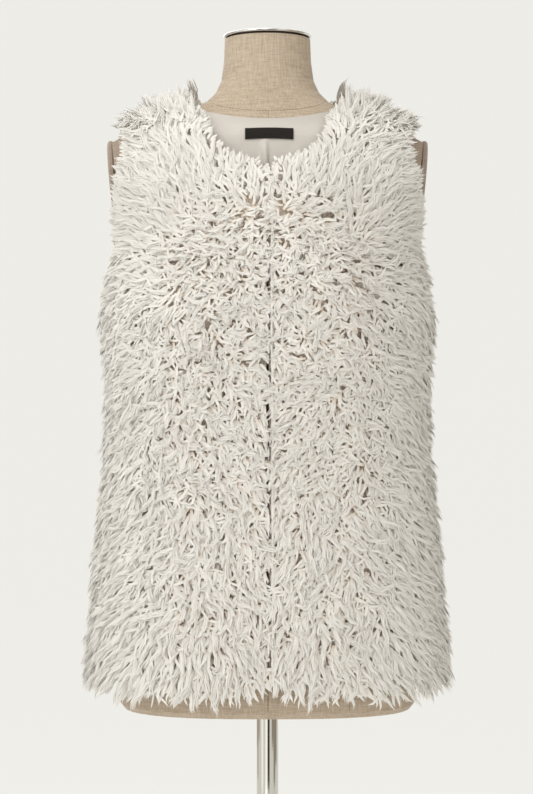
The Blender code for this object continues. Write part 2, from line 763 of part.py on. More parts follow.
pole_low = FOOT_THICK + GAP
pole_high = FORM_LEVELS[0].height + SOCKET_DEPTH - GAP
pole_line = [
    (0.0, pole_low),
    (POLE_RADIUS, pole_low),
    (POLE_RADIUS, pole_high - 0.001),
    (POLE_RADIUS - 0.001, pole_high),
    (0.0, pole_high),
]
turned("stand_pole", pole_line, 32, (0.72, 0.72, 0.72), 0.08, 1.0)
boss_line = [
    (POLE_RADIUS + GAP, pole_low),
    (BOSS_RADIUS, pole_low),
    (BOSS_RADIUS, pole_low + BOSS_HIGH * 0.35),
    (BOSS_RADIUS - 0.006, pole_low + BOSS_HIGH * 0.55),
    (POLE_RADIUS + 0.006, pole_low + BOSS_HIGH * 0.7),
    (POLE_RADIUS + 0.005, pole_low + BOSS_HIGH),
    (POLE_RADIUS + GAP, pole_low + BOSS_HIGH),
]
turned("base_boss", boss_line, 32, (0.72, 0.72, 0.72), 0.1, 1.0, hole=True)
foot_line = [
    (0.0, 0.0),
    (FOOT_RADIUS - 0.002, 0.0),
    (FOOT_RADIUS, 0.002),
    (FOOT_RADIUS, FOOT_THICK * 0.55),
    (FOOT_RADIUS - 0.003, FOOT_THICK * 0.85),
    (FOOT_RADIUS - 0.008, FOOT_THICK),
    (0.0, FOOT_THICK),
]
turned("base_plate", foot_line, 64, (0.70, 0.70, 0.70), 0.15, 1.0)
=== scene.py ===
import math
from collections import namedtuple

import bmesh
import bpy
import numpy as np
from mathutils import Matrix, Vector
from mathutils.geometry import delaunay_2d_cdt


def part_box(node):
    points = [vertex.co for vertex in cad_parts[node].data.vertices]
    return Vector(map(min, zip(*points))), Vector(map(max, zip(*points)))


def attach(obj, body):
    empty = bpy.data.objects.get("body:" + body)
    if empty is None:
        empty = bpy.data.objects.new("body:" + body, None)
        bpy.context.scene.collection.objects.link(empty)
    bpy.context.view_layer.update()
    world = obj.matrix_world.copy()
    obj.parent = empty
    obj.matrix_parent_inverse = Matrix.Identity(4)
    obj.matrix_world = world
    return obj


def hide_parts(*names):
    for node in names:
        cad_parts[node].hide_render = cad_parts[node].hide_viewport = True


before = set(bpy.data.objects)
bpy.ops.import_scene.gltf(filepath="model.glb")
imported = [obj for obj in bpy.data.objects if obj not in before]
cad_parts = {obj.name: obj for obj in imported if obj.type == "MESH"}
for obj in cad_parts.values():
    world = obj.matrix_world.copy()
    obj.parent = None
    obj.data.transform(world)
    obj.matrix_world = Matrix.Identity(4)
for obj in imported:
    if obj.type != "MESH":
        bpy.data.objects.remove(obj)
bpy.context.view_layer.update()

# One level of a body: height, half width, depth to the front and to the back, how square it is
Level = namedtuple("Level", "height halfWidth front back square")

formLevels = [Level(*row) for row in [
    (0.632, 0.171, 0.117, 0.121, 0.09),
    (0.638, 0.1755, 0.121, 0.126, 0.09),
    (0.652, 0.1775, 0.1225, 0.1285, 0.085),
    (0.7, 0.18, 0.12, 0.131, 0.07),
    (0.76, 0.179, 0.114, 0.127, 0.05),
    (0.86, 0.16, 0.102, 0.104, 0.04),
    (0.96, 0.137, 0.093, 0.086, 0.035),
    (1.03, 0.144, 0.104, 0.088, 0.035),
    (1.1, 0.158, 0.118, 0.096, 0.035),
    (1.16, 0.157, 0.111, 0.102, 0.035),
    (1.2, 0.162, 0.102, 0.103, 0.035),
    (1.235, 0.18, 0.093, 0.101, 0.035),
    (1.28, 0.193, 0.082, 0.095, 0.035),
    (1.303, 0.19, 0.075, 0.089, 0.035),
    (1.311, 0.174, 0.0705, 0.084, 0.035),
    (1.318, 0.146, 0.066, 0.077, 0.035),
    (1.3285, 0.1185, 0.062, 0.069, 0.035),
    (1.3405, 0.095, 0.0585, 0.062, 0.035),
    (1.352, 0.074, 0.056, 0.057, 0.035),
    (1.364, 0.062, 0.054, 0.0545, 0.03),
    (1.378, 0.0555, 0.0525, 0.0525, 0.02),
    (1.402, 0.0522, 0.0512, 0.0512, 0.01),
    (1.428, 0.0512, 0.0505, 0.0505, 0.0),
]]

vestLevels = [Level(*row) for row in [
    (0.67, 0.201, 0.142, 0.148, 0.08),
    (0.7, 0.2, 0.141, 0.147, 0.07),
    (0.745, 0.196, 0.139, 0.145, 0.055),
    (0.8, 0.192, 0.137, 0.14, 0.05),
    (0.87, 0.185, 0.137, 0.129, 0.045),
    (0.96, 0.178, 0.137, 0.119, 0.04),
    (1.02, 0.178, 0.137, 0.115, 0.035),
    (1.09, 0.184, 0.135, 0.114, 0.035),
    (1.13, 0.1785, 0.13, 0.115, 0.035),
    (1.18, 0.169, 0.12, 0.115, 0.035),
    (1.22, 0.179, 0.111, 0.114, 0.035),
    (1.265, 0.194, 0.099, 0.109, 0.035),
    (1.3037, 0.19, 0.085, 0.099, 0.035),
    (1.3117, 0.174, 0.08, 0.0945, 0.035),
    (1.3189, 0.146, 0.075, 0.085, 0.035),
    (1.3293, 0.1185, 0.071, 0.0775, 0.035),
    (1.3414, 0.095, 0.0675, 0.0705, 0.035),
    (1.353, 0.074, 0.065, 0.066, 0.035),
    (1.3651, 0.062, 0.063, 0.0635, 0.035),
]]

quarter = 0.26  # cloth width from the middle to the side seam, at the hem
bust = {"x": 0.088, "z": 1.095, "wide": 0.055, "tall": 0.060}
cutSizes = {
    "seamHalf": 0.00017, "slitTop": 0.0004, "slitLow": 0.0014, "slitStarts": 1.185,
    "underarm": 1.188, "hemSideRise": 0.020, "hemSlitRise": 0.017,
    "shoulderEnd": 0.168, "neckPoint": 0.080, "backNeck": 1.344,
}

# Up the armhole: part of the way up, how far it cuts in on the front and on the back
ArmPoint = namedtuple("ArmPoint", "rise front back")
armhole = [
    ArmPoint(0.00, 0.00, 0.00),
    ArmPoint(0.04, 0.09, 0.08),
    ArmPoint(0.14, 0.18, 0.15),
    ArmPoint(0.30, 0.27, 0.22),
    ArmPoint(0.48, 0.37, 0.29),
    ArmPoint(0.68, 0.41, 0.33),
    ArmPoint(0.84, 0.38, 0.32),
    ArmPoint(0.94, 0.25, 0.22),
    ArmPoint(1.00, 0.00, 0.00),
]

NeckPoint = namedtuple("NeckPoint", "x height")
frontNeck = [
    NeckPoint(0.000, 1.262),
    NeckPoint(0.016, 1.271),
    NeckPoint(0.034, 1.275),
    NeckPoint(0.050, 1.283),
    NeckPoint(0.064, 1.300),
    NeckPoint(0.074, 1.322),
]


def eased(known, values, wanted):
    # smooth through the table's values, and never past them
    known = np.asarray(known, float)
    values = np.asarray(values, float)
    run = np.diff(known)
    rise = np.diff(values) / run
    slope = np.zeros(len(known))
    slope[0] = rise[0]
    slope[-1] = rise[-1]
    for i in range(1, len(known) - 1):
        if rise[i - 1] * rise[i] > 0:
            a = 2 * run[i] + run[i - 1]
            b = run[i] + 2 * run[i - 1]
            slope[i] = (a + b) / (a / rise[i - 1] + b / rise[i])
    wanted = np.clip(wanted, known[0], known[-1])
    at = np.clip(np.searchsorted(known, wanted) - 1, 0, len(run) - 1)
    t = (wanted - known[at]) / run[at]
    h = run[at]
    low = values[at] * (1 + 2 * t) * (1 - t) ** 2 + slope[at] * h * t * (1 - t) ** 2
    high = values[at + 1] * t * t * (3 - 2 * t) + slope[at + 1] * h * t * t * (t - 1)
    return low + high


def makeShape(levels, bustHigh):
    total = [0.0]
    for low, high in zip(levels, levels[1:]):
        total.append(total[-1] + math.hypot(high.height - low.height, high.halfWidth - low.halfWidth))
    return {"levels": levels, "climb": total, "bustHigh": bustHigh}


def climbAt(shape, height):
    return float(eased([r.height for r in shape["levels"]], shape["climb"], height))


def climbAtWidth(shape, halfWidth, above):
    rows = [(r.halfWidth, c) for r, c in zip(shape["levels"], shape["climb"]) if r.height > above]
    rows.sort()
    return float(eased([w for w, _ in rows], [c for _, c in rows], halfWidth))


def onBody(shape, u, up, side):
    # u is cloth width from the middle, up the length up the side; side is -1 front, 1 back
    levels = shape["levels"]
    known = shape["climb"]
    u = np.asarray(u, float)
    up = np.asarray(up, float)
    wide = eased(known, [r.halfWidth for r in levels], up)
    height = eased(known, [r.height for r in levels], up)
    deep = eased(known, [r.front if side < 0 else r.back for r in levels], up)
    square = eased(known, [r.square for r in levels], up)
    turn = u / quarter * math.pi / 2
    bulge = 1 + square * np.sin(2 * turn) ** 2
    x = wide * np.sin(turn) * bulge
    y = side * deep * np.cos(turn) * bulge
    if side < 0:
        across = ((np.abs(x) - bust["x"]) / bust["wide"]) ** 2
        along = ((height - bust["z"]) / bust["tall"]) ** 2
        y = y - shape["bustHigh"] * np.exp(-across - along) * np.cos(turn)
    return np.stack([x, y, height + np.minimum(up, 0)], axis=-1)


def bodyFrame(shape, u, up, side):
    # points, outward normals and how the point moves with u and with up
    step = 0.0008
    here = onBody(shape, u, up, side)
    wideWay = (onBody(shape, u + step, up, side) - onBody(shape, u - step, up, side)) / (2 * step)
    upWay = (onBody(shape, u, up + step, side) - onBody(shape, u, up - step, side)) / (2 * step)
    normal = unit(np.cross(wideWay, upWay) * -side)
    return here, normal, wideWay, upWay


def unit(way):
    return way / np.maximum(np.linalg.norm(way, axis=-1, keepdims=True), 1e-12)


def dot(a, b):
    return (a * b).sum(axis=-1)


def widthForX(shape, x, up, side):
    low, high = 0.0, quarter
    for _ in range(40):
        middle = (low + high) / 2
        if abs(onBody({**shape, "bustHigh": 0.0}, middle, up, side)[0]) < abs(x):
            low = middle
        else:
            high = middle
    return (low + high) / 2


def walked(points, step):
    points = np.asarray(points, float)
    lengths = np.linalg.norm(np.diff(points, axis=0), axis=1)
    total = np.concatenate([[0.0], np.cumsum(lengths)])
    count = max(2, int(round(total[-1] / step)) + 1)
    at = np.linspace(0, total[-1], count)
    return np.stack([np.interp(at, total, points[:, i]) for i in range(points.shape[1])], axis=1)


def smoothLine(points, count):
    points = np.asarray(points, float)
    run = np.concatenate([[0.0], np.cumsum(np.linalg.norm(np.diff(points, axis=0), axis=1))])
    at = np.linspace(0, run[-1], count)
    return np.stack([eased(run, points[:, i], at) for i in range(2)], axis=1)


def insideOf(loop, spots):
    ends = np.roll(loop, -1, axis=0)
    edge = ends - loop
    rise = np.where(edge[:, 1] == 0, 1e-12, edge[:, 1])
    crosses = (loop[:, 1] > spots[:, 1:]) != (ends[:, 1] > spots[:, 1:])
    where = loop[:, 0] + (spots[:, 1:] - loop[:, 1]) * edge[:, 0] / rise
    return (crosses & (where > spots[:, :1])).sum(axis=1) % 2 == 1


def lattice(loop, across, along, jitter, clear, rng):
    # staggered, shaken spots inside a loop of the flat cut
    low = loop.min(axis=0)
    high = loop.max(axis=0)
    rows = int((high[1] - low[1]) / along) + 2
    columns = int((high[0] - low[0]) / across) + 2
    row, column = np.meshgrid(np.arange(rows), np.arange(columns), indexing="ij")
    row = row.ravel()
    column = column.ravel()
    spots = np.stack([low[0] + (column + 0.5 * (row % 2)) * across, low[1] + row * along], axis=1)
    spots += rng.uniform(-jitter, jitter, spots.shape) * np.array([across, along])
    spots = spots[insideOf(loop, spots)]
    if clear > 0:
        fine = walked(np.concatenate([loop, loop[:1]]), clear / 3)
        far = np.array([np.linalg.norm(fine - spot, axis=1).min() for spot in spots])
        spots = spots[far > clear]
    return spots


def filled(loop, inner):
    count = len(loop)
    flat = [Vector(p) for p in np.concatenate([loop, inner])]
    edges = [(i, (i + 1) % count) for i in range(count)]
    _, _, faces, origins, _, _ = delaunay_2d_cdt(flat, edges, [], 1, 1e-9)
    back = [o[0] for o in origins]
    return [tuple(back[i] for i in face) for face in faces]


def newObject(name, points, faces):
    mesh = bpy.data.meshes.new(name)
    mesh.from_pydata([tuple(p) for p in points], [], faces)
    item = bpy.data.objects.new(name, mesh)
    bpy.context.collection.objects.link(item)
    return item


def finished(item, sharpAngle):
    # faces of a closed piece all face out, and are smooth but for their sharp edges
    work = bmesh.new()
    work.from_mesh(item.data)
    bmesh.ops.recalc_face_normals(work, faces=work.faces)
    if work.calc_volume(signed=True) < 0:
        bmesh.ops.reverse_faces(work, faces=work.faces)
    work.to_mesh(item.data)
    work.free()
    item.data.shade_smooth()
    item.data.set_sharp_from_angle(angle=math.radians(sharpAngle))
    return item


def closedSheet(name, loop, inner, top, low):
    # a sheet from the points of its cut, the loop's first: upper face, lower face and rim
    faces = [tuple(face) for face in filled(loop, inner)]
    count = len(top)
    whole = faces + [tuple(count + i for i in reversed(face)) for face in faces]
    for i in range(len(loop)):
        j = (i + 1) % len(loop)
        whole.append((i, j, count + j, count + i))
    return newObject(name, np.concatenate([top, low]), whole), len(faces)


def turned(profile, segments):
    # rings of points about the pole for each radius and height of a profile
    points = []
    faces = []
    for radius, height in profile:
        for i in range(segments):
            turn = 2 * math.pi * i / segments
            points.append((radius * math.cos(turn), radius * math.sin(turn), height))
    for row in range(len(profile) - 1):
        for i in range(segments):
            a = row * segments + i
            b = row * segments + (i + 1) % segments
            faces.append((a, b, b + segments, a + segments))
    return points, faces


vestShape = makeShape(vestLevels, 0.010)
formShape = makeShape(formLevels, 0.016)


def vestUp(height):
    return climbAt(vestShape, height)


def slitHalf(height):
    openShare = np.clip((cutSizes["slitStarts"] - height) / 0.06, 0, 1)
    return cutSizes["slitTop"] + (cutSizes["slitLow"] - cutSizes["slitTop"]) * openShare


def sideSeam(side, startUp, endUp):
    rows = np.linspace(startUp, endUp, 40)
    deep = eased(vestShape["climb"], [r.front if side < 0 else r.back for r in vestLevels], rows)
    shy = cutSizes["seamHalf"] / deep * 2 / math.pi
    return np.stack([(1 - shy) * quarter, rows], axis=1)


def armholeLine(side):
    low = vestUp(cutSizes["underarm"])
    high = climbAtWidth(vestShape, cutSizes["shoulderEnd"], 1.27)
    cuts = [(p.front if side < 0 else p.back, p.rise) for p in armhole]
    line = smoothLine([((1 - cut) * quarter, low + (high - low) * rise) for cut, rise in cuts], 60)
    line[0] = sideSeam(side, low, high)[0]
    line[-1] = sideSeam(side, low, high)[-1]
    return line


def hemLine(startU, endU):
    u = np.linspace(startU, endU, 60)
    return np.stack([u, cutSizes["hemSideRise"] * np.abs(u / quarter) ** 4], axis=1)


def frontCut():
    neck = []
    for spot in frontNeck:
        up = vestUp(spot.height)
        neck.append((widthForX(vestShape, max(spot.x, float(slitHalf(spot.height))), up, -1), up))
    top = climbAtWidth(vestShape, cutSizes["neckPoint"], 1.27)
    neck.append(tuple(sideSeam(-1, top, top)[0]))
    neck = smoothLine(neck, 60)[::-1]
    side = sideSeam(-1, cutSizes["hemSideRise"], vestUp(cutSizes["underarm"]))
    hem = hemLine(0.0, side[0, 0])
    rise = cutSizes["hemSlitRise"]
    hem[:, 1] += rise * np.exp(-hem[:, 0] / rise)
    hem[-1] = side[0]
    middleUp = np.linspace(neck[-1, 1], hem[0, 1], 40)
    half = slitHalf(eased(vestShape["climb"], [r.height for r in vestLevels], middleUp))
    wide = eased(vestShape["climb"], [r.halfWidth for r in vestLevels], middleUp)
    middle = np.stack([np.arcsin(half / wide) * 2 / math.pi * quarter, middleUp], axis=1)
    hem[0] = middle[-1]
    neck[-1] = middle[0]
    shoulderLow = climbAtWidth(vestShape, cutSizes["shoulderEnd"], 1.27)
    return [
        ("slit", middle),
        ("hem", hem),
        ("seam", side),
        ("armhole", armholeLine(-1)),
        ("seam", sideSeam(-1, shoulderLow, neck[0, 1])),
        ("neck", neck),
    ]


def backCut():
    # half of the back, cut along a seam down its middle
    top = climbAtWidth(vestShape, cutSizes["neckPoint"], 1.27)
    dip = vestUp(cutSizes["backNeck"])
    shoulderLow = climbAtWidth(vestShape, cutSizes["shoulderEnd"], 1.27)
    side = sideSeam(1, cutSizes["hemSideRise"], vestUp(cutSizes["underarm"]))
    share = np.linspace(1, 0, 60)
    neck = np.stack([sideSeam(1, top, top)[0, 0] * share, dip + (top - dip) * share ** 2.6], axis=1)
    hem = hemLine(0.0, side[0, 0])
    hem[-1] = side[0]
    middleUp = np.linspace(dip, 0.0, 40)
    wide = eased(vestShape["climb"], [r.halfWidth for r in vestLevels], middleUp)
    middle = np.stack([np.arcsin(cutSizes["seamHalf"] / wide) * 2 / math.pi * quarter, middleUp], axis=1)
    hem[0] = middle[-1]
    neck[-1] = middle[0]
    return [
        ("seam", middle),
        ("hem", hem),
        ("seam", side),
        ("armhole", armholeLine(1)),
        ("seam", sideSeam(1, shoulderLow, top)),
        ("neck", neck),
    ]


def loopOf(cut, step):
    return np.concatenate([walked(line, step)[:-1] for _, line in cut])


# Nodes and materials


def feed(tree, node, values):
    # each value is a plain one or another node's output
    for key, value in values.items():
        if hasattr(value, "is_output"):
            tree.links.new(value, node.inputs[key])
        else:
            node.inputs[key].default_value = value


def addNode(tree, kind, values, **settings):
    node = tree.nodes.new(kind)
    count = len(tree.nodes)
    node.location = (200 * (count % 7) - 1500, -240 * (count // 7))
    for key, value in settings.items():
        setattr(node, key, value)
    feed(tree, node, values)
    return node


def mathNode(tree, operation, a, b=None):
    values = {0: a} if b is None else {0: a, 1: b}
    return addNode(tree, "ShaderNodeMath", values, operation=operation).outputs[0]


def mixColors(tree, factor, a, b, blend="MIX"):
    values = {"Factor": factor, "A": a, "B": b}
    return addNode(tree, "ShaderNodeMix", values, data_type="RGBA", blend_type=blend).outputs["Result"]


def makeRamp(tree, factor, stops):
    ramp = addNode(tree, "ShaderNodeValToRGB", {0: factor})
    elements = ramp.color_ramp.elements
    for i in (0, -1):
        elements[i].position = stops[i][0]
        elements[i].color = (*stops[i][1], 1)
    for position, color in stops[1:-1]:
        elements.new(position).color = (*color, 1)
    return ramp.outputs[0]


def newMaterial(name, color, roughness, metallic=0.0):
    finish = bpy.data.materials.new(name)
    finish.use_nodes = True
    shader = finish.node_tree.nodes["Principled BSDF"]
    values = {"Base Color": (*color, 1.0), "Roughness": roughness, "Metallic": metallic}
    feed(finish.node_tree, shader, values)
    return finish, finish.node_tree, shader


def newGroup(name, inputs, outputs):
    group = bpy.data.node_groups.new(name, "ShaderNodeTree")
    for label, kind, value in inputs:
        socket = group.interface.new_socket(name=label, in_out="INPUT", socket_type=kind)
        socket.default_value = value
    for label, kind in outputs:
        group.interface.new_socket(name=label, in_out="OUTPUT", socket_type=kind)
    return group, group.nodes.new("NodeGroupInput").outputs, group.nodes.new("NodeGroupOutput")


def makeWovenGround():
    # warp and weft threads with thick and thin places, for linen, satin and the label
    group, given, out = newGroup(
        "wovenGround",
        [
            ("Light", "NodeSocketColor", (0.6, 0.5, 0.4, 1)),
            ("Dark", "NodeSocketColor", (0.4, 0.3, 0.2, 1)),
            ("Thread Size", "NodeSocketFloat", 0.0007),
            ("Slubs", "NodeSocketFloat", 0.5),
        ],
        [("Color", "NodeSocketColor"), ("Height", "NodeSocketFloat")],
    )
    place = addNode(group, "ShaderNodeTexCoord", {}).outputs
    split = addNode(group, "ShaderNodeSeparateXYZ", {0: place["Object"]}).outputs
    facing = addNode(group, "ShaderNodeSeparateXYZ", {0: place["Normal"]}).outputs
    onSide = mathNode(group, "GREATER_THAN", mathNode(group, "ABSOLUTE", facing["X"]), 0.7)
    ways = {"Factor": onSide, "A": split["X"], "B": split["Y"]}
    across = addNode(group, "ShaderNodeMix", ways, data_type="FLOAT").outputs[0]
    turns = mathNode(group, "DIVIDE", math.pi, given["Thread Size"])
    warp = mathNode(group, "SINE", mathNode(group, "MULTIPLY", across, turns))
    weft = mathNode(group, "SINE", mathNode(group, "MULTIPLY", split["Z"], turns))
    weave = mathNode(group, "MULTIPLY", mathNode(group, "MULTIPLY", warp, weft), 0.22)
    slubs = []
    for scaleAcross, scaleUp in ((700, 42), (60, 760)):
        values = {"Scale": (scaleAcross, scaleAcross, scaleUp), "Vector": place["Object"]}
        stretch = addNode(group, "ShaderNodeMapping", values).outputs[0]
        values = {"Vector": stretch, "Scale": 1.0, "Detail": 3.0, "Roughness": 0.65}
        slubs.append(addNode(group, "ShaderNodeTexNoise", values).outputs[0])
    thick = mathNode(group, "MULTIPLY", mathNode(group, "SUBTRACT", mathNode(group, "ADD", *slubs), 1.0), 2.6)
    shown = mathNode(group, "MULTIPLY", thick, given["Slubs"])
    mixed = mathNode(group, "ADD", mathNode(group, "ADD", weave, shown), 0.5)
    height = addNode(group, "ShaderNodeClamp", {0: mixed}).outputs[0]
    feed(group, out, {"Color": mixColors(group, height, given["Dark"], given["Light"]), "Height": height})
    return group


def makeHandled():
    # faint smears and fine rubbed lines that break up a polished surface
    group, given, out = newGroup(
        "handledMetal",
        [(label, "NodeSocketFloat", at) for label, at in (("Smears", 0.1), ("Polish", 0.1), ("Size", 9.0))],
        [("Roughness", "NodeSocketFloat"), ("Height", "NodeSocketFloat")],
    )
    place = addNode(group, "ShaderNodeTexCoord", {}).outputs["Object"]
    cloud = addNode(group, "ShaderNodeTexNoise", {"Vector": place, "Scale": given["Size"], "Detail": 5.0})
    lines = addNode(group, "ShaderNodeTexNoise", {"Vector": place, "Scale": 420.0, "Detail": 2.0})
    smear = mathNode(group, "MULTIPLY", cloud.outputs[0], given["Smears"])
    rough = mathNode(group, "ADD", smear, given["Polish"])
    feed(group, out, {"Roughness": rough, "Height": lines.outputs[0]})
    return group


def bumpFrom(tree, shader, height, strength, distance):
    values = {"Strength": strength, "Distance": distance, "Height": height}
    feed(tree, shader, {"Normal": addNode(tree, "ShaderNodeBump", values).outputs[0]})


wovenGround = makeWovenGround()
handledMetal = makeHandled()


def wovenCloth(name, light, dark, thread, slubs, roughness, strength, sheen=0.0):
    finish, tree, shader = newMaterial(name, light, roughness)
    values = {"Light": (*light, 1), "Dark": (*dark, 1), "Thread Size": thread, "Slubs": slubs}
    ground = addNode(tree, "ShaderNodeGroup", values, node_tree=wovenGround).outputs
    feed(tree, shader, {"Base Color": ground["Color"], "Sheen Weight": sheen, "Sheen Roughness": 0.5})
    bumpFrom(tree, shader, ground["Height"], strength, 0.0004)
    return finish


def polished(name, color, polish, smears, size=9.0):
    finish, tree, shader = newMaterial(name, color, polish, 1.0)
    values = {"Smears": smears, "Polish": polish, "Size": size}
    touch = addNode(tree, "ShaderNodeGroup", values, node_tree=handledMetal).outputs
    feed(tree, shader, {"Roughness": touch["Roughness"]})
    bumpFrom(tree, shader, touch["Height"], 0.02, 0.0002)
    return finish


# the root and middle colours are darker than the fibres' own cream: painted shade in the depths of the pile.
# Body and tip are the fibres' own colour
furLook = {
    "root": (0.72, 0.60, 0.49),
    "middle": (0.83, 0.765, 0.69),
    "body": (0.86, 0.835, 0.79),
    "tip": (0.875, 0.855, 0.815),
    "roughness": 0.7,
    "sheen": 0.2,
    "stops": {"root": 0.10, "middle": 0.38, "body": 0.62, "tip": 0.90},
    "toneSpread": 0.20,
    "toneShadeTint": (0.62, 0.56, 0.48),
    # the ground's two colours are painted shade of the pile's depths
    "groundShadeDark": (0.62, 0.52, 0.42),
    "groundShadeLight": (0.78, 0.70, 0.61),
}


def makeFurMaterial():
    finish, tree, shader = newMaterial("longPile", furLook["body"], furLook["roughness"])
    # the along attribute runs from the painted shade at the roots to the fibres' own cream at the tips
    along = addNode(tree, "ShaderNodeAttribute", {}, attribute_name="along").outputs["Fac"]
    toneAndShade = addNode(tree, "ShaderNodeAttribute", {}, attribute_name="toneAndShade").outputs["Fac"]
    stops = [(at, furLook[part]) for part, at in furLook["stops"].items()]
    # a per-strand darkening toward a warm brown: random tone, and painted shade on the sides of each lock
    shade = mathNode(tree, "MULTIPLY", toneAndShade, furLook["toneSpread"])
    feed(tree, shader, {
        "Base Color": mixColors(tree, shade, makeRamp(tree, along, stops), (*furLook["toneShadeTint"], 1), "MULTIPLY"),
        "Sheen Weight": furLook["sheen"], "Sheen Roughness": 0.45, "Specular IOR Level": 0.35,
    })
    return finish


def makeGroundShadeMaterial():
    # the knitted ground under the pile; its colours are darker than the fibres' cream as painted shade of the
    # pile's depths
    finish, tree, shader = newMaterial("pileGroundShade", (0.35, 0.29, 0.22), 0.95)
    place = addNode(tree, "ShaderNodeTexCoord", {}).outputs["Object"]
    wool = addNode(tree, "ShaderNodeTexNoise", {"Vector": place, "Scale": 420.0, "Detail": 4.0}).outputs[0]
    stops = [(0.3, furLook["groundShadeDark"]), (0.7, furLook["groundShadeLight"])]
    feed(tree, shader, {"Base Color": makeRamp(tree, wool, stops)})
    bumpFrom(tree, shader, wool, 0.8, 0.001)
    return finish


furFinish = makeFurMaterial()
groundShadeFinish = makeGroundShadeMaterial()
satinFinish = wovenCloth("liningSatin", (0.61, 0.57, 0.525), (0.53, 0.49, 0.45), 0.0004, 0.25, 0.42, 0.05)
linenFinish = wovenCloth("formLinen", (0.62, 0.51, 0.395), (0.375, 0.295, 0.21), 0.0009, 0.62, 0.9, 0.35, 0.1)


# round the arm stumps the linen is darkened and turned pinker: painted shade between the arm plates and the
# vest
stumpShade = {"x": 0.158, "z": 1.19, "shadeTint": (0.74, 0.71, 0.74)}


def shadeStumps(finish):
    tree = finish.node_tree
    shader = tree.nodes["Principled BSDF"]
    place = addNode(tree, "ShaderNodeTexCoord", {}).outputs["Object"]
    split = addNode(tree, "ShaderNodeSeparateXYZ", {0: place}).outputs
    outer = mathNode(tree, "GREATER_THAN", mathNode(tree, "ABSOLUTE", split["X"]), stumpShade["x"])
    upper = mathNode(tree, "GREATER_THAN", split["Z"], stumpShade["z"])
    cover = shader.inputs["Base Color"].links[0].from_socket
    # where the painted shade darkens the linen round the arm stumps
    shadedArea = mathNode(tree, "MULTIPLY", outer, upper)
    feed(tree, shader, {"Base Color": mixColors(tree, shadedArea, cover, (*stumpShade["shadeTint"], 1), "MULTIPLY")})


shadeStumps(linenFinish)
plateFinish = wovenCloth("plateCloth", (0.43, 0.345, 0.285), (0.29, 0.23, 0.185), 0.0008, 0.5, 0.9, 0.3, 0.1)
labelFinish = wovenCloth("labelTape", (0.026, 0.022, 0.020), (0.010, 0.009, 0.008), 0.0005, 0.3, 0.85, 0.3)
labelFinish.node_tree.nodes["Principled BSDF"].inputs["Specular IOR Level"].default_value = 0.15
threadFinish = wovenCloth("seamThread", (0.34, 0.265, 0.185), (0.24, 0.18, 0.125), 0.0004, 0.5, 0.8, 0.2)
# the gasket under the cap's rolled rim is near-black and shows as a dark line there
nearBlackRingFinish = wovenCloth("gasketNearBlack", (0.060, 0.046, 0.036), (0.022, 0.017, 0.013), 0.0006, 0.8, 0.95, 0.5)
capFinish = polished("capSteel", (0.72, 0.70, 0.67), 0.10, 0.10)
poleFinish = polished("poleChrome", (0.66, 0.645, 0.60), 0.03, 0.05)
footFinish = polished("footSteel", (0.62, 0.61, 0.58), 0.16, 0.22, 5.0)
print("materials ready")


# Fur. Each spot of the flow table says how the locks near it lie: the turn in degrees from
# straight down, outward positive; how curly they are; their length; how far they stand off.
Flow = namedtuple("Flow", "x height turn curl long lift")


def flowTable(columns):
    return [Flow(x, *row) for x, rows in columns.items() for row in rows]


frontFlow = flowTable({
    0.008: [(0.68, -12, 0.2, 0.025, 9), (0.8, -24, 0.25, 0.022, 11), (0.95, -32, 0.3, 0.02, 13),
        (1.08, -58, 0.5, 0.019, 14), (1.13, -74, 0.6, 0.019, 15), (1.185, -84, 0.7, 0.018, 20),
        (1.24, -170, 0.35, 0.016, 20)],
    0.04: [(0.68, -8, 0.2, 0.026, 8), (0.8, -12, 0.3, 0.024, 10), (0.95, -32, 0.4, 0.022, 12),
        (1.08, -60, 0.8, 0.02, 15), (1.13, -30, 0.85, 0.02, 18), (1.18, 28, 0.6, 0.023, 16),
        (1.212, 80, 0.6, 0.021, 28), (1.248, 172, 0.25, 0.021, 18)],
    0.08: [(0.68, 4, 0.2, 0.026, 8), (0.8, 2, 0.4, 0.025, 11), (0.95, -30, 0.5, 0.022, 13),
        (1.08, -35, 0.85, 0.02, 18), (1.13, 22, 0.9, 0.02, 20), (1.172, 78, 0.7, 0.021, 26),
        (1.215, 156, 0.3, 0.023, 18), (1.25, 160, 0.2, 0.025, 14), (1.3, 142, 0.2, 0.023, 14)],
    0.12: [(0.68, 20, 0.15, 0.026, 8), (0.8, 34, 0.45, 0.024, 11), (0.95, 20, 0.6, 0.022, 14),
        (1.08, 40, 0.55, 0.022, 14), (1.13, 80, 0.3, 0.023, 14), (1.172, 118, 0.2, 0.025, 12),
        (1.215, 140, 0.18, 0.026, 12), (1.25, 138, 0.18, 0.026, 12), (1.3, 125, 0.18, 0.024, 14)],
    0.165: [(0.68, 40, 0.1, 0.026, 10), (0.8, 52, 0.1, 0.025, 12), (0.95, 58, 0.1, 0.024, 12),
        (1.08, 66, 0.1, 0.024, 12), (1.13, 76, 0.1, 0.024, 12), (1.172, 88, 0.12, 0.024, 12),
        (1.215, 96, 0.12, 0.025, 13)],
    0.15: [(1.3, 106, 0.15, 0.032, 36)],
    0.11: [(1.33, 128, 0.2, 0.031, 54)],
    0.085: [(1.345, 165, 0.25, 0.032, 58)],
})
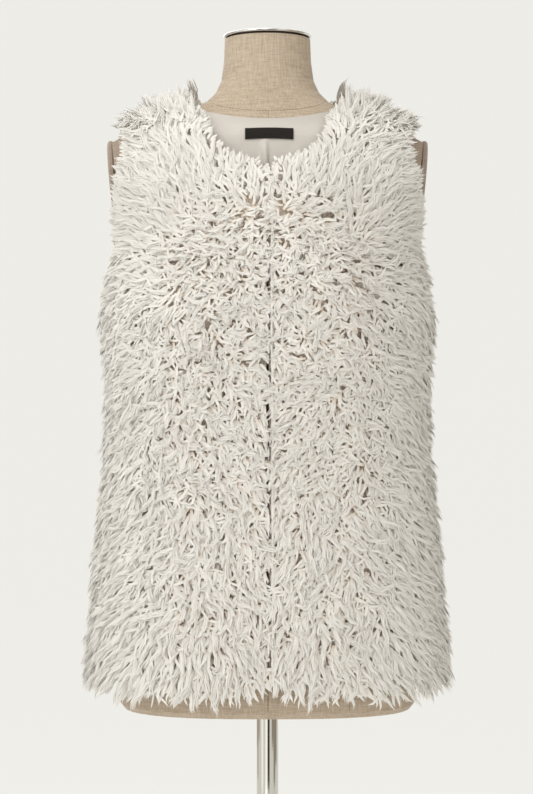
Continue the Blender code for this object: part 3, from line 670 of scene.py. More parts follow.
backFlow = flowTable({
    0.0: [(0.68, 0, 0.15, 0.026, 8), (0.95, 4, 0.35, 0.024, 10), (1.2, 6, 0.4, 0.024, 12)],
    0.09: [(0.68, 6, 0.15, 0.026, 8), (0.95, 14, 0.4, 0.024, 12), (1.2, 20, 0.35, 0.024, 12)],
    0.165: [(0.68, 16, 0.1, 0.026, 10), (0.95, 36, 0.15, 0.024, 12), (1.17, 46, 0.15, 0.024, 12)],
    0.15: [(1.3, 84, 0.15, 0.021, 8)],
    0.06: [(1.32, 30, 0.3, 0.023, 18)],
    0.11: [(1.33, 100, 0.2, 0.024, 24)],
    0.085: [(1.345, 130, 0.2, 0.024, 30)],
})

frontFur = {
    "across": 0.0080, "along": 0.0102, "strands": 15, "lockHalf": 0.0041, "wide": 0.00145, "long": 1.36,
    "rootSlope": 56, "base": 0.0035, "round": 0.60, "stray": 0.0, "rise": 0.0, "fill": 0.0,
    "flow": frontFlow, "reach": (0.028, 0.045),
}
backFur = {
    **frontFur, "across": 0.0096, "along": 0.0124, "strands": 10, "lockHalf": 0.0050, "wide": 0.0022,
    "flow": backFlow, "reach": (0.045, 0.110),
}
# short wool under the locks, which fills what they leave open
underWool = {
    "strands": 1, "lockHalf": 0.0, "wide": 0.0036, "long": 1.0, "stray": 64.0, "rise": -8.0, "round": 0.0,
    "rootSlope": 13, "base": 0.0098, "fill": 0.0008,
}
frontWool = {**frontFur, **underWool, "across": 0.0048, "along": 0.0052}
backWool = {**backFur, **underWool, "wide": 0.0040, "across": 0.0068, "along": 0.0072}
lockRows = {
    "at": np.array([0.0, 0.32, 0.50, 0.67, 0.84, 1.0]), "wide": np.array([0.75, 1.0, 1.0, 0.86, 0.56, 0.0]),
}
woolRows = {"at": np.array([0.0, 0.45, 0.78, 1.0]), "wide": np.array([0.8, 1.0, 0.7, 0.0])}
# what straight pile does, and what a full curl adds, in degrees
curlMoves = {"drift": (6, 26), "turn": (4, 16), "bend": (12, 62), "wave": (16, 26)}
lockForm = {
    "driftLong": (0.035, 0.090), "waveLong": (0.013, 0.020), "waveCurl": 0.32, "lookRound": 0.0085,
    "pieces": 12, "gather": 0.88, "setBack": 0.45, "twist": -24, "twistMore": 11,
}
# toward the sides and shoulders the pile is denser and shows less of its depths, and its painted root shade
# is lighter
calmZone = {
    "x": 0.10, "overX": 0.05, "z": 1.215, "overZ": 0.03, "stray": 0.6, "depth": 0.50, "depthAll": 0.16,
}
# at these edges the locks turn over the edge: how far in it starts, how fully, what is left of the length
edgePull = {"neck": (0.012, 0.85, 0.30), "armhole": (0.018, 0.8, 0.50)}
besideNeck = {"z": 1.325, "overZ": 0.025, "longer": 0.60}  # it stands up beside the form's neck
underArm = {"z": 1.290, "reach": 0.022, "fuller": 0.5, "shorter": 0.26}  # thinner where an arm would rub it
slitFur = {
    "reach": 0.0100, "turn": -14.0, "long": 0.80, "cross": 0.05,
    "clear": 0.0030, "edge": 0.0016, "lean": 0.0030,
}


def byCurl(key, curl):
    straight, more = curlMoves[key]
    return straight + more * curl


def flowAt(spots, spec):
    # blends the table's spots by how near they are; the turns blend as directions
    table = spec["flow"]
    reachX, reachZ = spec["reach"]
    x = np.abs(spots[:, 0])[:, None]
    z = spots[:, 2][:, None]
    near = ((x - [f.x for f in table]) / reachX) ** 2 + ((z - [f.height for f in table]) / reachZ) ** 2
    weight = 1.0 / (near + 0.02) ** 2
    weight /= weight.sum(axis=1, keepdims=True)
    turns = np.radians([f.turn for f in table])
    turn = np.degrees(np.arctan2(weight @ np.sin(turns), weight @ np.cos(turns)))
    rest = [weight @ np.array([getattr(f, key) for f in table], float) for key in ("curl", "long", "lift")]
    return [turn] + rest


def slitOpen(height):
    # where along the slit its edges show as a dark line, 0 to 1
    wave = np.sin(height * 2 * math.pi / 0.047 + 1.1) + 0.8 * np.sin(height * 2 * math.pi / 0.083 + 4.0)
    return np.clip(0.80 + 0.60 * wave, 0, 1) * np.clip((1.200 - height) / 0.012, 0, 1)


def drift(spots, rng, sizes, count=9):
    # slow seeded waves over the cloth, so that neighbours lie alike
    total = np.zeros(len(spots))
    for _ in range(count):
        turn = rng.uniform(0, 2 * math.pi)
        size = rng.uniform(*sizes)
        way = np.array([math.cos(turn), math.sin(turn)]) * 2 * math.pi / size
        total += np.sin(spots[:, 0] * way[0] + spots[:, 2] * way[1] + rng.uniform(0, 2 * math.pi))
    return total / math.sqrt(count / 2)


def growLocks(cut, side, spec, rows, seed, lean=0.0):
    rng = np.random.default_rng(seed)
    loop = loopOf(cut, 0.004)
    centres = lattice(loop, spec["across"], spec["along"], 0.36, 0.0, rng)
    if side < 0:
        height = onBody(vestShape, centres[:, 0], centres[:, 1], side)[:, 2]
        centres = centres[centres[:, 0] > slitFur["clear"] * slitOpen(height)]
    spots, normal, wideWay, upWay = bodyFrame(vestShape, centres[:, 0], centres[:, 1], side)
    count = len(centres)
    # each lock takes its lie from a spot near it, so that those at a parting cross
    turn, curl, long, lift = flowAt(spots + rng.normal(0, lockForm["lookRound"], spots.shape), spec)
    turn = turn + drift(spots, rng, lockForm["driftLong"]) * byCurl("drift", curl)
    calm = np.clip((np.abs(spots[:, 0]) - calmZone["x"]) / calmZone["overX"], 0, 1)
    calm = np.maximum(calm, np.clip((spots[:, 2] - calmZone["z"]) / calmZone["overZ"], 0, 1))
    stray = spec["stray"] * (0.25 + curl) * (1 - calmZone["stray"] * calm)
    turn = turn + rng.normal(0, 1, count) * (byCurl("turn", curl) + stray)
    if side < 0:
        # beside the slit most locks hang along it, and some cross over
        nearSlit = np.exp(-(np.abs(spots[:, 0]) / slitFur["reach"]) ** 4) * slitOpen(spots[:, 2])
        nearSlit *= rng.uniform(0, 1, count) > slitFur["cross"]
        turn = turn + (slitFur["turn"] - turn) * nearSlit
        long = long * (1 - (1 - slitFur["long"]) * nearSlit)
        curl = curl * (1 - 0.85 * nearSlit)
    angle = np.radians(turn)
    outSign = np.where(spots[:, 0] < 0, -1.0, 1.0)
    if side > 0:
        outSign = np.tanh(spots[:, 0] / 0.02)
    way = np.stack([np.sin(angle) * outSign, np.zeros(count), -np.cos(angle)], axis=1)
    way = unit(way - normal * dot(way, normal)[:, None])
    for kind, line in cut:
        if kind not in edgePull:
            continue
        reach, strength, shorter = edgePull[kind]
        fine = walked(line, 0.003)
        along = np.gradient(fine, axis=0)
        past = unit(np.stack([along[:, 1], -along[:, 0]], axis=1))
        far = np.linalg.norm(centres[:, None, :] - fine[None, :, :], axis=2)
        nearest = far.argmin(axis=1)
        pull = np.exp(-(far.min(axis=1) / reach) ** 2)
        over = wideWay * past[nearest, :1] + upWay * past[nearest, 1:]
        share = pull[:, None] * strength
        way = unit(way * (1 - share) + unit(over) * share)
        if kind == "neck" and side < 0:
            beside = np.clip((spots[:, 2] - besideNeck["z"]) / besideNeck["overZ"], 0, 1)
            shorter = shorter + besideNeck["longer"] * beside
        if kind == "armhole":
            rubbed = np.exp(-(((spots[:, 2] - underArm["z"]) / underArm["reach"]) ** 2))
            pull = np.minimum(1, pull * (1 + underArm["fuller"] * rubbed))
            shorter = shorter - underArm["shorter"] * rubbed
        long = long * (1 - (1 - shorter) * pull)
        lift = lift + 12 * pull
        curl = curl * (1 - 0.6 * pull)
    acrossWay = np.cross(normal, way)
    long = long * spec["long"]

    # each strand keeps to its lock
    lock = np.repeat(np.arange(count), spec["strands"])
    total = len(lock)
    spread = rng.uniform(-1, 1, total) if spec["strands"] > 1 else np.zeros(total)
    setBack = rng.uniform(-1, 1, total)
    length = (long * rng.uniform(0.82, 1.15, count))[lock]
    length = length * rng.uniform(0.86, 1.04, total) * (1 - 0.20 * np.abs(spread) ** 2)
    bend = (rng.normal(0, 1, count) * byCurl("bend", curl))[lock] + rng.normal(0, 3, total)
    wave = (byCurl("wave", curl) * rng.uniform(0.5, 1.3, count))[lock]
    waveLong = (rng.uniform(*lockForm["waveLong"], count) * (1 - lockForm["waveCurl"] * curl))[lock]
    wavePhase = rng.uniform(0, 2 * math.pi, count)[lock] + rng.normal(0, 0.28, total)
    endSlope = (lift + spec["rise"] + rng.normal(0, 5, count))[lock] + rng.normal(0, 3, total)
    rootSlope = spec["rootSlope"] + rng.normal(0, 4, count)[lock]

    pieces = lockForm["pieces"]
    t = (np.arange(pieces) + 0.5) / pieces
    slope = endSlope[:, None] + (rootSlope - endSlope)[:, None] * (1 - t) ** 1.6
    heading = bend[:, None] * t + wave[:, None] * np.sin(
        2 * math.pi * t * (length / waveLong)[:, None] + wavePhase[:, None]
    )
    heading -= wave[:, None] * np.sin(wavePhase)[:, None] * (1 - t)
    slope = np.radians(slope)
    heading = np.radians(heading)
    step = (length / pieces)[:, None]
    ahead = np.cos(slope) * np.cos(heading) * step
    aside = np.cos(slope) * np.sin(heading) * step
    path = np.stack([ahead, aside, np.sin(slope) * step]).cumsum(axis=2)
    path = np.concatenate([np.zeros((3, total, 1)), path], axis=2)
    rowAt = rows["at"]
    low = np.minimum((rowAt * pieces).astype(int), pieces - 1)
    share = rowAt * pieces - low
    forward, sideways, high = path[:, :, low] * (1 - share) + path[:, :, low + 1] * share

    half = spec["lockHalf"]
    sideways = sideways + (spread * half)[:, None] * (1 - lockForm["gather"] * rowAt ** 1.7)
    forward = forward + (setBack * max(half * lockForm["setBack"], 0.0016))[:, None]
    high = high + spec["base"] - (spread ** 2 * half * spec["round"])[:, None] * np.sin(rowAt * math.pi)
    high = high + (setBack * 0.0008)[:, None] * rowAt
    calm = calm[lock]
    high = high + (spec["fill"] * calm)[:, None]

    # the way in the cloth is turned into steps of u and up
    uu = dot(wideWay, wideWay)
    uv = dot(wideWay, upWay)
    vv = dot(upWay, upWay)
    size = uu * vv - uv * uv

    def inCloth(vector):
        a = dot(vector, wideWay)
        b = dot(vector, upWay)
        return (a * vv - b * uv) / size, (b * uu - a * uv) / size

    wayU, wayV = inCloth(way)
    overU, overV = inCloth(acrossWay)
    u = centres[lock, 0][:, None] + forward * wayU[lock, None] + sideways * overU[lock, None]
    up = centres[lock, 1][:, None] + forward * wayV[lock, None] + sideways * overV[lock, None]
    if side < 0:
        # the locks press on the other front and turn down along the slit, a few cross it
        edge = slitFur["edge"] + lean + rng.exponential(0.0005, total)
        crossing = slitFur["cross"] + 0.8 * (1 - slitOpen(spots[:, 2]))[lock]
        edge -= 0.02 * (rng.uniform(0, 1, total) < crossing)
        u = np.maximum(u, edge[:, None] + (u - edge[:, None]) * 0.06)
    base, off, _, _ = bodyFrame(vestShape, u, up, side)
    middle = base + off * high[:, :, None]
    tangent = unit(np.gradient(middle, axis=1))
    flat = unit(np.cross(tangent, off))
    twist = lockForm["twist"] * spread + rng.normal(0, lockForm["twistMore"], total)
    twist = np.radians(twist)[:, None, None]
    lateral = flat * np.cos(twist) + np.cross(tangent, flat) * np.sin(twist)
    face = np.cross(lateral, tangent)
    # the light sees a lock as a rounded body, not as single strips
    normals = unit(off * 0.72 + face * 0.14 - flat * (spread * 0.42)[:, None, None])
    wide = (spec["wide"] * rng.uniform(0.75, 1.2, total))[:, None] * rows["wide"]
    # random tone per lock and strand, and painted shade that darkens the sides of each lock
    toneAndShade = 0.50 * rng.uniform(0, 1, count)[lock] + 0.30 * rng.uniform(0, 1, total) + 0.20 * spread ** 2
    # each point's place on the colour ramp: the lower rows get painted shade of the pile's depths, less of it
    # in the calm zone
    depth = rowAt + (1 - rowAt) * (calmZone["depthAll"] + calmZone["depth"] * calm)[:, None]
    return {
        "middle": middle, "lateral": lateral, "normals": normals, "wide": wide,
        "toneAndShade": toneAndShade, "depth": depth, "at": rowAt,
    }


def furObject(name, locks, pick, mirror):
    # a tapered strip for each strand: rows of two points and a tip
    middle = locks["middle"][pick]
    lateral = locks["lateral"][pick]
    shade = locks["normals"][pick]
    wide = locks["wide"][pick][:, :, None]
    count, rows = middle.shape[:2]
    points = np.stack([middle - lateral * wide / 2, middle + lateral * wide / 2], axis=2)
    points = np.concatenate([points[:, :-1].reshape(count, -1, 3), middle[:, -1:]], axis=1)
    normals = np.stack([shade - lateral * 0.09, shade + lateral * 0.09], axis=2)
    normals = unit(np.concatenate([normals[:, :-1].reshape(count, -1, 3), shade[:, -1:]], axis=1))
    each = 2 * (rows - 1) + 1
    quads = np.array([(2 * i, 2 * i + 1, 2 * i + 3, 2 * i + 2) for i in range(rows - 2)])
    tip = np.array([each - 3, each - 2, each - 1])
    if mirror:
        points[:, :, 0] *= -1
        normals[:, :, 0] *= -1
        quads = quads[:, ::-1]
        tip = tip[::-1]
    corners = np.concatenate([quads.ravel(), tip])
    loops = (np.arange(count)[:, None] * each + corners).ravel()
    sizes = np.tile([4] * (rows - 2) + [3], count)
    starts = np.concatenate([[0], np.cumsum(sizes)[:-1]])

    mesh = bpy.data.meshes.new(name)
    mesh.vertices.add(count * each)
    mesh.vertices.foreach_set("co", points.ravel().astype(np.float32))
    mesh.loops.add(len(loops))
    mesh.loops.foreach_set("vertex_index", loops.astype(np.int32))
    mesh.polygons.add(len(sizes))
    mesh.polygons.foreach_set("loop_start", starts.astype(np.int32))
    mesh.polygons.foreach_set("loop_total", sizes.astype(np.int32))
    mesh.update(calc_edges=True)
    mesh.shade_smooth()

    depth = locks["depth"][pick]
    depth = np.concatenate([np.repeat(depth[:, :-1], 2, axis=1), depth[:, -1:]], axis=1)
    # the along attribute carries the painted shade of the pile's depths
    along = mesh.attributes.new("along", "FLOAT", "POINT")
    along.data.foreach_set("value", depth.ravel().astype(np.float32))
    toneAndShade = mesh.attributes.new("toneAndShade", "FLOAT", "POINT")
    toneAndShade.data.foreach_set("value", np.repeat(locks["toneAndShade"][pick], each).astype(np.float32))

    # one cell of the picture for each strand
    columns = int(math.ceil(math.sqrt(count)))
    cellX = (np.arange(count) % columns)[:, None]
    cellY = (np.arange(count) // columns)[:, None]
    inX = np.concatenate([np.tile([0.2, 0.8], rows - 1), [0.5]])
    inY = 0.1 + 0.8 * np.concatenate([np.repeat(locks["at"][:-1], 2), locks["at"][-1:]])
    u = ((cellX + inX) / columns).ravel()
    v = ((cellY + inY) / columns).ravel()
    layer = mesh.uv_layers.new(name="OFBake")
    layer.data.foreach_set("uv", np.stack([u[loops], v[loops]], axis=1).ravel().astype(np.float32))

    mesh.normals_split_custom_set_from_vertices(normals.reshape(-1, 3).astype(np.float32))
    mesh.materials.append(furFinish)
    item = bpy.data.objects.new(name, mesh)
    bpy.context.collection.objects.link(item)
    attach(item, "root")
    return item


groundCloth = {"thick": 0.0024, "gap": 0.0002, "rim": 0.0090, "grid": 0.0150, "clear": 0.0052}


def backing(name, cut, side, mirror):
    # the knitted ground of one panel, satin on its inside
    rng = np.random.default_rng(5)
    loop = loopOf(cut, groundCloth["rim"])
    inner = lattice(loop, groundCloth["grid"], groundCloth["grid"], 0.0, groundCloth["clear"], rng)
    every = np.concatenate([loop, inner])
    base, normal, _, _ = bodyFrame(vestShape, every[:, 0], every[:, 1], side)
    if mirror:
        base[:, 0] *= -1
        normal[:, 0] *= -1
    top = base + normal * groundCloth["thick"]
    item, count = closedSheet(name, loop, inner, top, base + normal * groundCloth["gap"])
    item.data.materials.append(groundShadeFinish)
    item.data.materials.append(satinFinish)
    for i in range(count, 2 * count):
        item.data.polygons[i].material_index = 1
    finished(item, 40)
    area = sum(p.area for p in item.data.polygons if p.material_index == 1)
    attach(item, "root")
    return item, area


# name, cut, side, mirrored to the other side, seed, locks, wool under them
Panel = namedtuple("Panel", "node cut side mirror seed fur wool")
panels = [
    Panel("front_left", frontCut(), -1, False, 101, frontFur, frontWool),
    Panel("front_right", frontCut(), -1, True, 211, frontFur, frontWool),
    Panel("back_left", backCut(), 1, False, 307, backFur, backWool),
    Panel("back_right", backCut(), 1, True, 409, backFur, backWool),
]

for panel in panels:
    lean = -slitFur["lean"] if panel.mirror else slitFur["lean"]
    locks = growLocks(panel.cut, panel.side, panel.fur, lockRows, panel.seed, lean)
    wool = growLocks(panel.cut, panel.side, panel.wool, woolRows, panel.seed + 7, lean)
    count = len(locks["toneAndShade"])
    halves = 2 if count > 21000 else 1
    tufts = [furObject(f"{panel.node}_wool", wool, np.arange(len(wool["toneAndShade"])), panel.mirror)]
    for part in range(halves):
        pick = np.flatnonzero(np.arange(count) * halves // count == part)
        tufts.append(furObject(f"{panel.node}_pile_{part + 1}", locks, pick, panel.mirror))
    ground, area = backing(f"{panel.node}_ground", panel.cut, panel.side, panel.mirror)
    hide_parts(panel.node)


# Satin yoke and its label
yoke = {
    "lift": 0.0006, "thick": 0.0010, "step": 0.0021, "pleatDrop": 0.0044, "pleatReach": 0.008,
    "halfWide": 0.0790, "top": 1.3250, "topRise": 0.0120, "deep": 0.0900,
}
label = {"wide": 0.0560, "tall": 0.0128, "x": 0.0020, "z": 1.3056, "thick": 0.0008, "foldWide": 0.0034}


def yokeOutline():
    line = []
    for share in np.linspace(-1, 1, 41):
        line.append((yoke["halfWide"] * share, yoke["top"] + yoke["topRise"] * share * share))
    for turn in np.linspace(0, math.pi, 61)[1:-1]:
        x = yoke["halfWide"] * math.cos(turn) * (1 + 0.06 * math.sin(turn))
        line.append((x, yoke["top"] + yoke["topRise"] - yoke["deep"] * math.sin(turn) ** 0.8))
    return line[::-1]


def chestFlat(line):
    flat = []
    for x, height in line:
        up = climbAt(formShape, height)
        flat.append((math.copysign(widthForX(formShape, x, up, -1), x), up))
    return np.array(flat)


# Folds of the satin: where each starts and ends in x and height, how wide and high it is
Fold = namedtuple("Fold", "x1 z1 x2 z2 wide high")
satinFolds = [
    Fold(-0.0032, 1.2990, -0.0014, 1.2500, 0.0042, 0.0040),
    Fold(-0.0700, 1.3300, -0.0420, 1.2850, 0.0090, 0.0009),
    Fold(-0.0600, 1.3100, -0.0200, 1.2700, 0.0110, 0.0011),
    Fold(0.0680, 1.3280, 0.0500, 1.2820, 0.0080, 0.0010),
    Fold(0.0480, 1.2950, 0.0220, 1.2680, 0.0100, 0.0012),
    Fold(-0.0300, 1.3200, -0.0340, 1.2900, 0.0070, 0.0005),
]


def foldHigh(points):
    total = np.zeros(len(points))
    for fold in satinFolds:
        run = np.array([fold.x2 - fold.x1, fold.z2 - fold.z1])
        here = points[:, [0, 2]] - np.array([fold.x1, fold.z1])
        share = np.clip(here @ run / (run @ run), 0, 1)
        far = np.linalg.norm(here - share[:, None] * run, axis=1)
        fade = np.clip((1.15 - share) * 3, 0, 1) * np.clip(0.25 + share * 2.5, 0, 1)
        total += fold.high * fade * np.exp(-(far / fold.wide) ** 2)
    pleatSide = np.clip((points[:, 0] - 0.0002) / 0.0012, 0, 1)
    below = np.clip((label["z"] - 0.008 - points[:, 2]) / 0.006, 0, 1)
    fade = np.exp(-np.maximum(points[:, 0], 0) / yoke["pleatReach"])
    total -= yoke["pleatDrop"] * pleatSide * below * fade
    return np.maximum(total, 0)


def chestSheet(name, line, step):
    rng = np.random.default_rng(3)
    loop = walked(np.concatenate([chestFlat(line), chestFlat(line[:1])]), step)[:-1]
    inner = lattice(loop, step, step, 0.0, step * 0.5, rng)
    every = np.concatenate([loop, inner])
    base, normal, _, _ = bodyFrame(formShape, every[:, 0], every[:, 1], -1)
    low = (yoke["lift"] + foldHigh(base))[:, None]
    item, _ = closedSheet(name, loop, inner, base + normal * (low + yoke["thick"]), base + normal * low)
    finished(item, 50)
    return item


satin = chestSheet("satin_yoke", yokeOutline(), yoke["step"])
satin.data.materials.append(satinFinish)
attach(satin, "root")
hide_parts("lining_yoke")


def makeLabel():
    # a strip of woven tape with its ends turned under, on the satin
    rows = 9
    columns = 57
    low = yoke["lift"] + yoke["thick"] + 0.0013
    points = []
    for layer in (1, 0):
        for row in range(rows):
            for column in range(columns):
                sx = column / (columns - 1) - 0.5
                sz = row / (rows - 1) - 0.5
                x = label["x"] + sx * label["wide"]
                z = label["z"] + sz * label["tall"] - 0.0009 * (2 * sx) ** 2
                up = climbAt(formShape, z)
                u = math.copysign(widthForX(formShape, x, up, -1), x)
                spot, normal, _, _ = bodyFrame(formShape, np.array([u]), np.array([up]), -1)
                edge = min((0.5 - abs(sx)) * label["wide"], (0.5 - abs(sz)) * label["tall"])
                end = (0.5 - abs(sx)) * label["wide"]
                crown = 0.00025 * math.exp(-(edge / 0.0006) ** 2)
                doubled = 0.00030 if end < label["foldWide"] else 0.0
                high = low + layer * (label["thick"] - 0.0003 + doubled - crown)
                points.append(tuple(spot[0] + normal[0] * high))
    faces = []
    shift = rows * columns
    for row in range(rows - 1):
        for column in range(columns - 1):
            a = row * columns + column
            faces.append((a, a + 1, a + columns + 1, a + columns))
            faces.append((shift + a, shift + a + columns, shift + a + columns + 1, shift + a + 1))
    rim = [c for c in range(columns)]
    rim += [r * columns + columns - 1 for r in range(1, rows)]
    rim += [(rows - 1) * columns + c for c in range(columns - 2, -1, -1)]
    rim += [r * columns for r in range(rows - 2, 0, -1)]
    for i, a in enumerate(rim):
        b = rim[(i + 1) % len(rim)]
        faces.append((a, shift + a, shift + b, b))
    item = newObject("label_tape", points, faces)
    finished(item, 45)
    item.data.materials.append(labelFinish)
    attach(item, "root")
    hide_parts("neck_label")
    return item


labelTape = makeLabel()
print("satin and label ready")


# Seams of the form's cover
seam = {
    "thread": 0.00034, "stitch": 0.0026, "gap": 0.0009, "neckLow": 1.3353, "neckHigh": 1.3553,
    "shortFrom": (1.3255, 1.3345), "uprightFrom": (0.6335, 1.150),
    "upright": [(0.0005, -1), (0.094, -1), (-0.0900, 1), (0.0, 1), (0.0900, 1)],  # x and side
}


def tubeAlong(path, radius, sides, points, faces):
    path = np.asarray(path)
    tangent = unit(np.gradient(path, axis=0))
    first = unit(np.cross(tangent, [0.31, 0.95, 0.11]))
    second = np.cross(tangent, first)
    start = len(points)
    taper = np.ones(len(path))
    taper[[0, -1]] = 0.55
    for i, spot in enumerate(path):
        for k in range(sides):
            turn = 2 * math.pi * k / sides
            way = first[i] * math.cos(turn) + second[i] * math.sin(turn)
            points.append(tuple(spot + way * radius * taper[i]))
    for i in range(len(path) - 1):
        for k in range(sides):
            a = start + i * sides + k
            b = start + i * sides + (k + 1) % sides
            faces.append((a, b, b + sides, a + sides))
    faces.append(tuple(start + k for k in range(sides))[::-1])
    last = start + (len(path) - 1) * sides
    faces.append(tuple(last + k for k in range(sides)))


def stitched(path, points, faces, radius):
    fine = walked(path, 0.0003)
    every = int(round((seam["stitch"] + seam["gap"]) / 0.0003))
    long = int(round(seam["stitch"] / 0.0003))
    for start in range(0, len(fine) - long, every):
        part = fine[start:start + long + 1]
        tubeAlong(part[::2] if len(part) > 4 else part, radius, 5, points, faces)


def formPoint(u, up, side, off):
    spot, normal, _, _ = bodyFrame(formShape, np.array([u]), np.array([up]), side)
    return spot[0] + normal[0] * off


def makeFormSeams():
    points = []
    faces = []
    ring = []
    for turn in np.linspace(0, 2 * math.pi, 241):
        side = -1 if math.cos(turn) >= 0 else 1
        u = quarter * (math.asin(max(-1, min(1, math.sin(turn)))) / (math.pi / 2))
        drop = math.cos(turn) ** 2 if side < 0 else 0.35 * math.cos(turn) ** 2
        z = seam["neckHigh"] - (seam["neckHigh"] - seam["neckLow"]) * drop
        ring.append(formPoint(u, climbAt(formShape, z), side, seam["thread"] * 0.4))
    stitched(ring, points, faces, seam["thread"])
    short = []
    for z in np.linspace(*seam["shortFrom"], 6):
        short.append(formPoint(0.0012, climbAt(formShape, z), -1, seam["thread"] * 0.3))
    tubeAlong(short, seam["thread"] * 0.8, 5, points, faces)
    for x, side in seam["upright"]:
        line = []
        for z in np.linspace(*seam["uprightFrom"], 60):
            up = climbAt(formShape, z)
            wide = eased(formShape["climb"], [r.halfWidth for r in formLevels], up) / 0.1775
            u = math.copysign(widthForX(formShape, abs(x) * wide, up, side), x)
            line.append(formPoint(u, up, side, seam["thread"] * 0.2))
        tubeAlong(line, seam["thread"] * 0.8, 5, points, faces)
    item = newObject("form_seams", points, faces)
    item.data.shade_smooth()
    item.data.materials.append(threadFinish)
    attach(item, "root")


makeFormSeams()


# Neck cap, turned finer than the frame's, with a rolled rim
cap = {"radius": 0.0527, "roll": 0.0016, "segments": 144}


def makeCap():
    low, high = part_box("neck_cap")
    base = low[2]
    top = high[2]
    roll = cap["roll"]
    profile = [(0.004, base), (cap["radius"] - roll, base)]
    for turn in np.linspace(-math.pi / 2, math.pi / 2, 13):
        profile.append((cap["radius"] - roll + roll * math.cos(turn), base + roll + roll * math.sin(turn)))
    profile += [(cap["radius"] * 0.86, base + roll * 2.1), (cap["radius"] * 0.6, top - 0.0004), (0.004, top)]
    points, faces = turned(profile, cap["segments"])
    faces.append(tuple(range(cap["segments"]))[::-1])
    faces.append(tuple(len(points) - cap["segments"] + i for i in range(cap["segments"])))
    item = finished(newObject("neck_cap_polished", points, faces), 40)
    item.data.materials.append(capFinish)
    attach(item, "root")
    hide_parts("neck_cap")


makeCap()
print("form details ready")

# Carried-over nodes keep their shape and get their finish
finishes = {
    "form_torso": linenFinish,
    "form_arm_plate_left": plateFinish,
    "form_arm_plate_right": plateFinish,
    "neck_gasket": nearBlackRingFinish,
    "stand_pole": poleFinish,
    "base_boss": poleFinish,
    "base_plate": footFinish,
}
for node, finish in finishes.items():
    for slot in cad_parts[node].material_slots:
        slot.material = finish


# Studio: a pale bowl all round, soft lights, and cards that only polished metal sees
studio = {
    "pale": (0.863, 0.855, 0.815), "floorRadius": 2.6, "wallRadius": 4.2, "wallHigh": 4.5,
    "glow": 0.86, "bowlShade": 0.12, "drop": 0.0002, "segments": 96,
}


def makeStudio():
    finish, tree, shader = newMaterial("studioPaper", (studio["bowlShade"],) * 3, 0.9)
    facing = addNode(tree, "ShaderNodeNewGeometry", {}).outputs
    feed(tree, shader, {
        "Specular IOR Level": 0.0,
        "Emission Color": (*studio["pale"], 1),
        "Emission Strength": studio["glow"],
        "Alpha": facing["Backfacing"],  # a view from outside looks through the bowl
    })
    profile = [(0.02, 0.0), (0.5, 0.0), (studio["floorRadius"], 0.0)]
    rise = studio["wallRadius"] - studio["floorRadius"]
    for turn in np.linspace(0, math.pi / 2, 14)[1:]:
        profile.append((studio["floorRadius"] + rise * math.sin(turn), rise * (1 - math.cos(turn))))
    profile.append((studio["wallRadius"], studio["wallHigh"]))
    profile = [(radius, height - studio["drop"]) for radius, height in profile]
    points, faces = turned(profile, studio["segments"])
    faces.append(tuple(range(studio["segments"])))
    bowl = newObject("studio_bowl", points, faces)
    bowl.data.shade_smooth()
    bowl.data.materials.append(finish)


def makeCard(name, middle, wide, tall, color, strength, shades=False):
    # stands upright and faces the object; only mirrors see it, unless it also shades
    finish, tree, shader = newMaterial(name, (0, 0, 0), 1.0)
    values = {"Specular IOR Level": 0.0, "Emission Color": (*color, 1), "Emission Strength": strength}
    feed(tree, shader, values)
    centre = Vector(middle)
    away = Vector((centre.x, centre.y, 0)).normalized()
    across = Vector((-away.y, away.x, 0)) * wide / 2
    rise = Vector((0, 0, tall / 2))
    corners = [centre + across * a + rise * b for a, b in ((-1, -1), (1, -1), (1, 1), (-1, 1))]
    card = newObject(name, corners, [(0, 1, 2, 3)])
    card.data.materials.append(finish)
    card.visible_camera = False
    card.visible_diffuse = shades
    card.visible_shadow = False
    card.visible_transmission = False


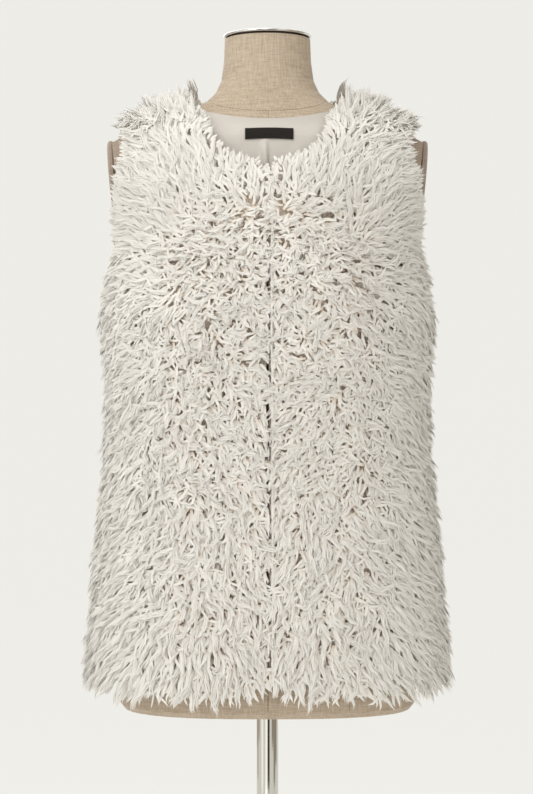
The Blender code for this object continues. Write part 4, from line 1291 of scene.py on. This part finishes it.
def makeLight(name, place, aim, size, power, color):
    lamp = bpy.data.lights.new(name, "AREA")
    lamp.shape = "DISK"
    lamp.size = size
    lamp.energy = power
    lamp.color = color
    item = bpy.data.objects.new(name, lamp)
    item.location = place
    item.rotation_euler = (Vector(aim) - Vector(place)).to_track_quat("-Z", "Y").to_euler()
    bpy.context.collection.objects.link(item)


makeStudio()
makeCard("card_front", (-0.10, -2.62, 1.5), 2.7, 3.0, (0.07, 0.06, 0.045), 1.0)
makeCard("card_white", (-2.15, -1.55, 1.5), 1.3, 3.0, (1.25, 1.24, 1.22), 1.0)
makeCard("card_left_far", (-2.3, 1.6, 1.5), 3.6, 3.0, (0.51, 0.445, 0.385), 1.0)
makeCard("flag_right", (2.7, -0.4, 1.6), 3.4, 3.2, (0.36, 0.315, 0.245), 1.0, True)
makeLight("key", (-1.8, -2.4, 2.6), (0, 0, 1.10), 1.9, 19, (1.0, 0.99, 0.97))
makeLight("fill", (0.6, -2.9, 0.9), (0, 0, 0.9), 1.6, 4.6, (1.0, 0.98, 0.95))
makeLight("top", (-0.5, -0.5, 3.2), (0, 0, 1.2), 1.4, 12, (1.0, 0.99, 0.97))
makeLight("behind", (-0.5, 2.4, 2.5), (0, 0, 1.1), 1.6, 20, (1.0, 0.985, 0.96))
makeLight("low", (-0.3, -2.3, 0.45), (0, 0, 0.66), 0.9, 2.6, (1.0, 0.98, 0.95))

world = bpy.data.worlds.new("studioAir")
world.use_nodes = True
world.node_tree.nodes["Background"].inputs["Color"].default_value = (*studio["pale"], 1)
world.node_tree.nodes["Background"].inputs["Strength"].default_value = 1.0
bpy.context.scene.world = world
bpy.context.scene.view_settings.view_transform = "Standard"

view = {"distance": 2.4, "height": 1.0, "shiftX": -0.0012, "lens": 90.68, "sensor": 36.0}
camera = bpy.data.cameras.new("camera")
camera.sensor_fit = "VERTICAL"
camera.sensor_height = view["sensor"]
camera.lens = view["lens"]
cameraObject = bpy.data.objects.new("camera", camera)
cameraObject.location = (view["shiftX"], -view["distance"], view["height"])
cameraObject.rotation_euler = (math.pi / 2, 0, 0)
bpy.context.collection.objects.link(cameraObject)
bpy.context.scene.camera = cameraObject

print("studio and sizes ready")
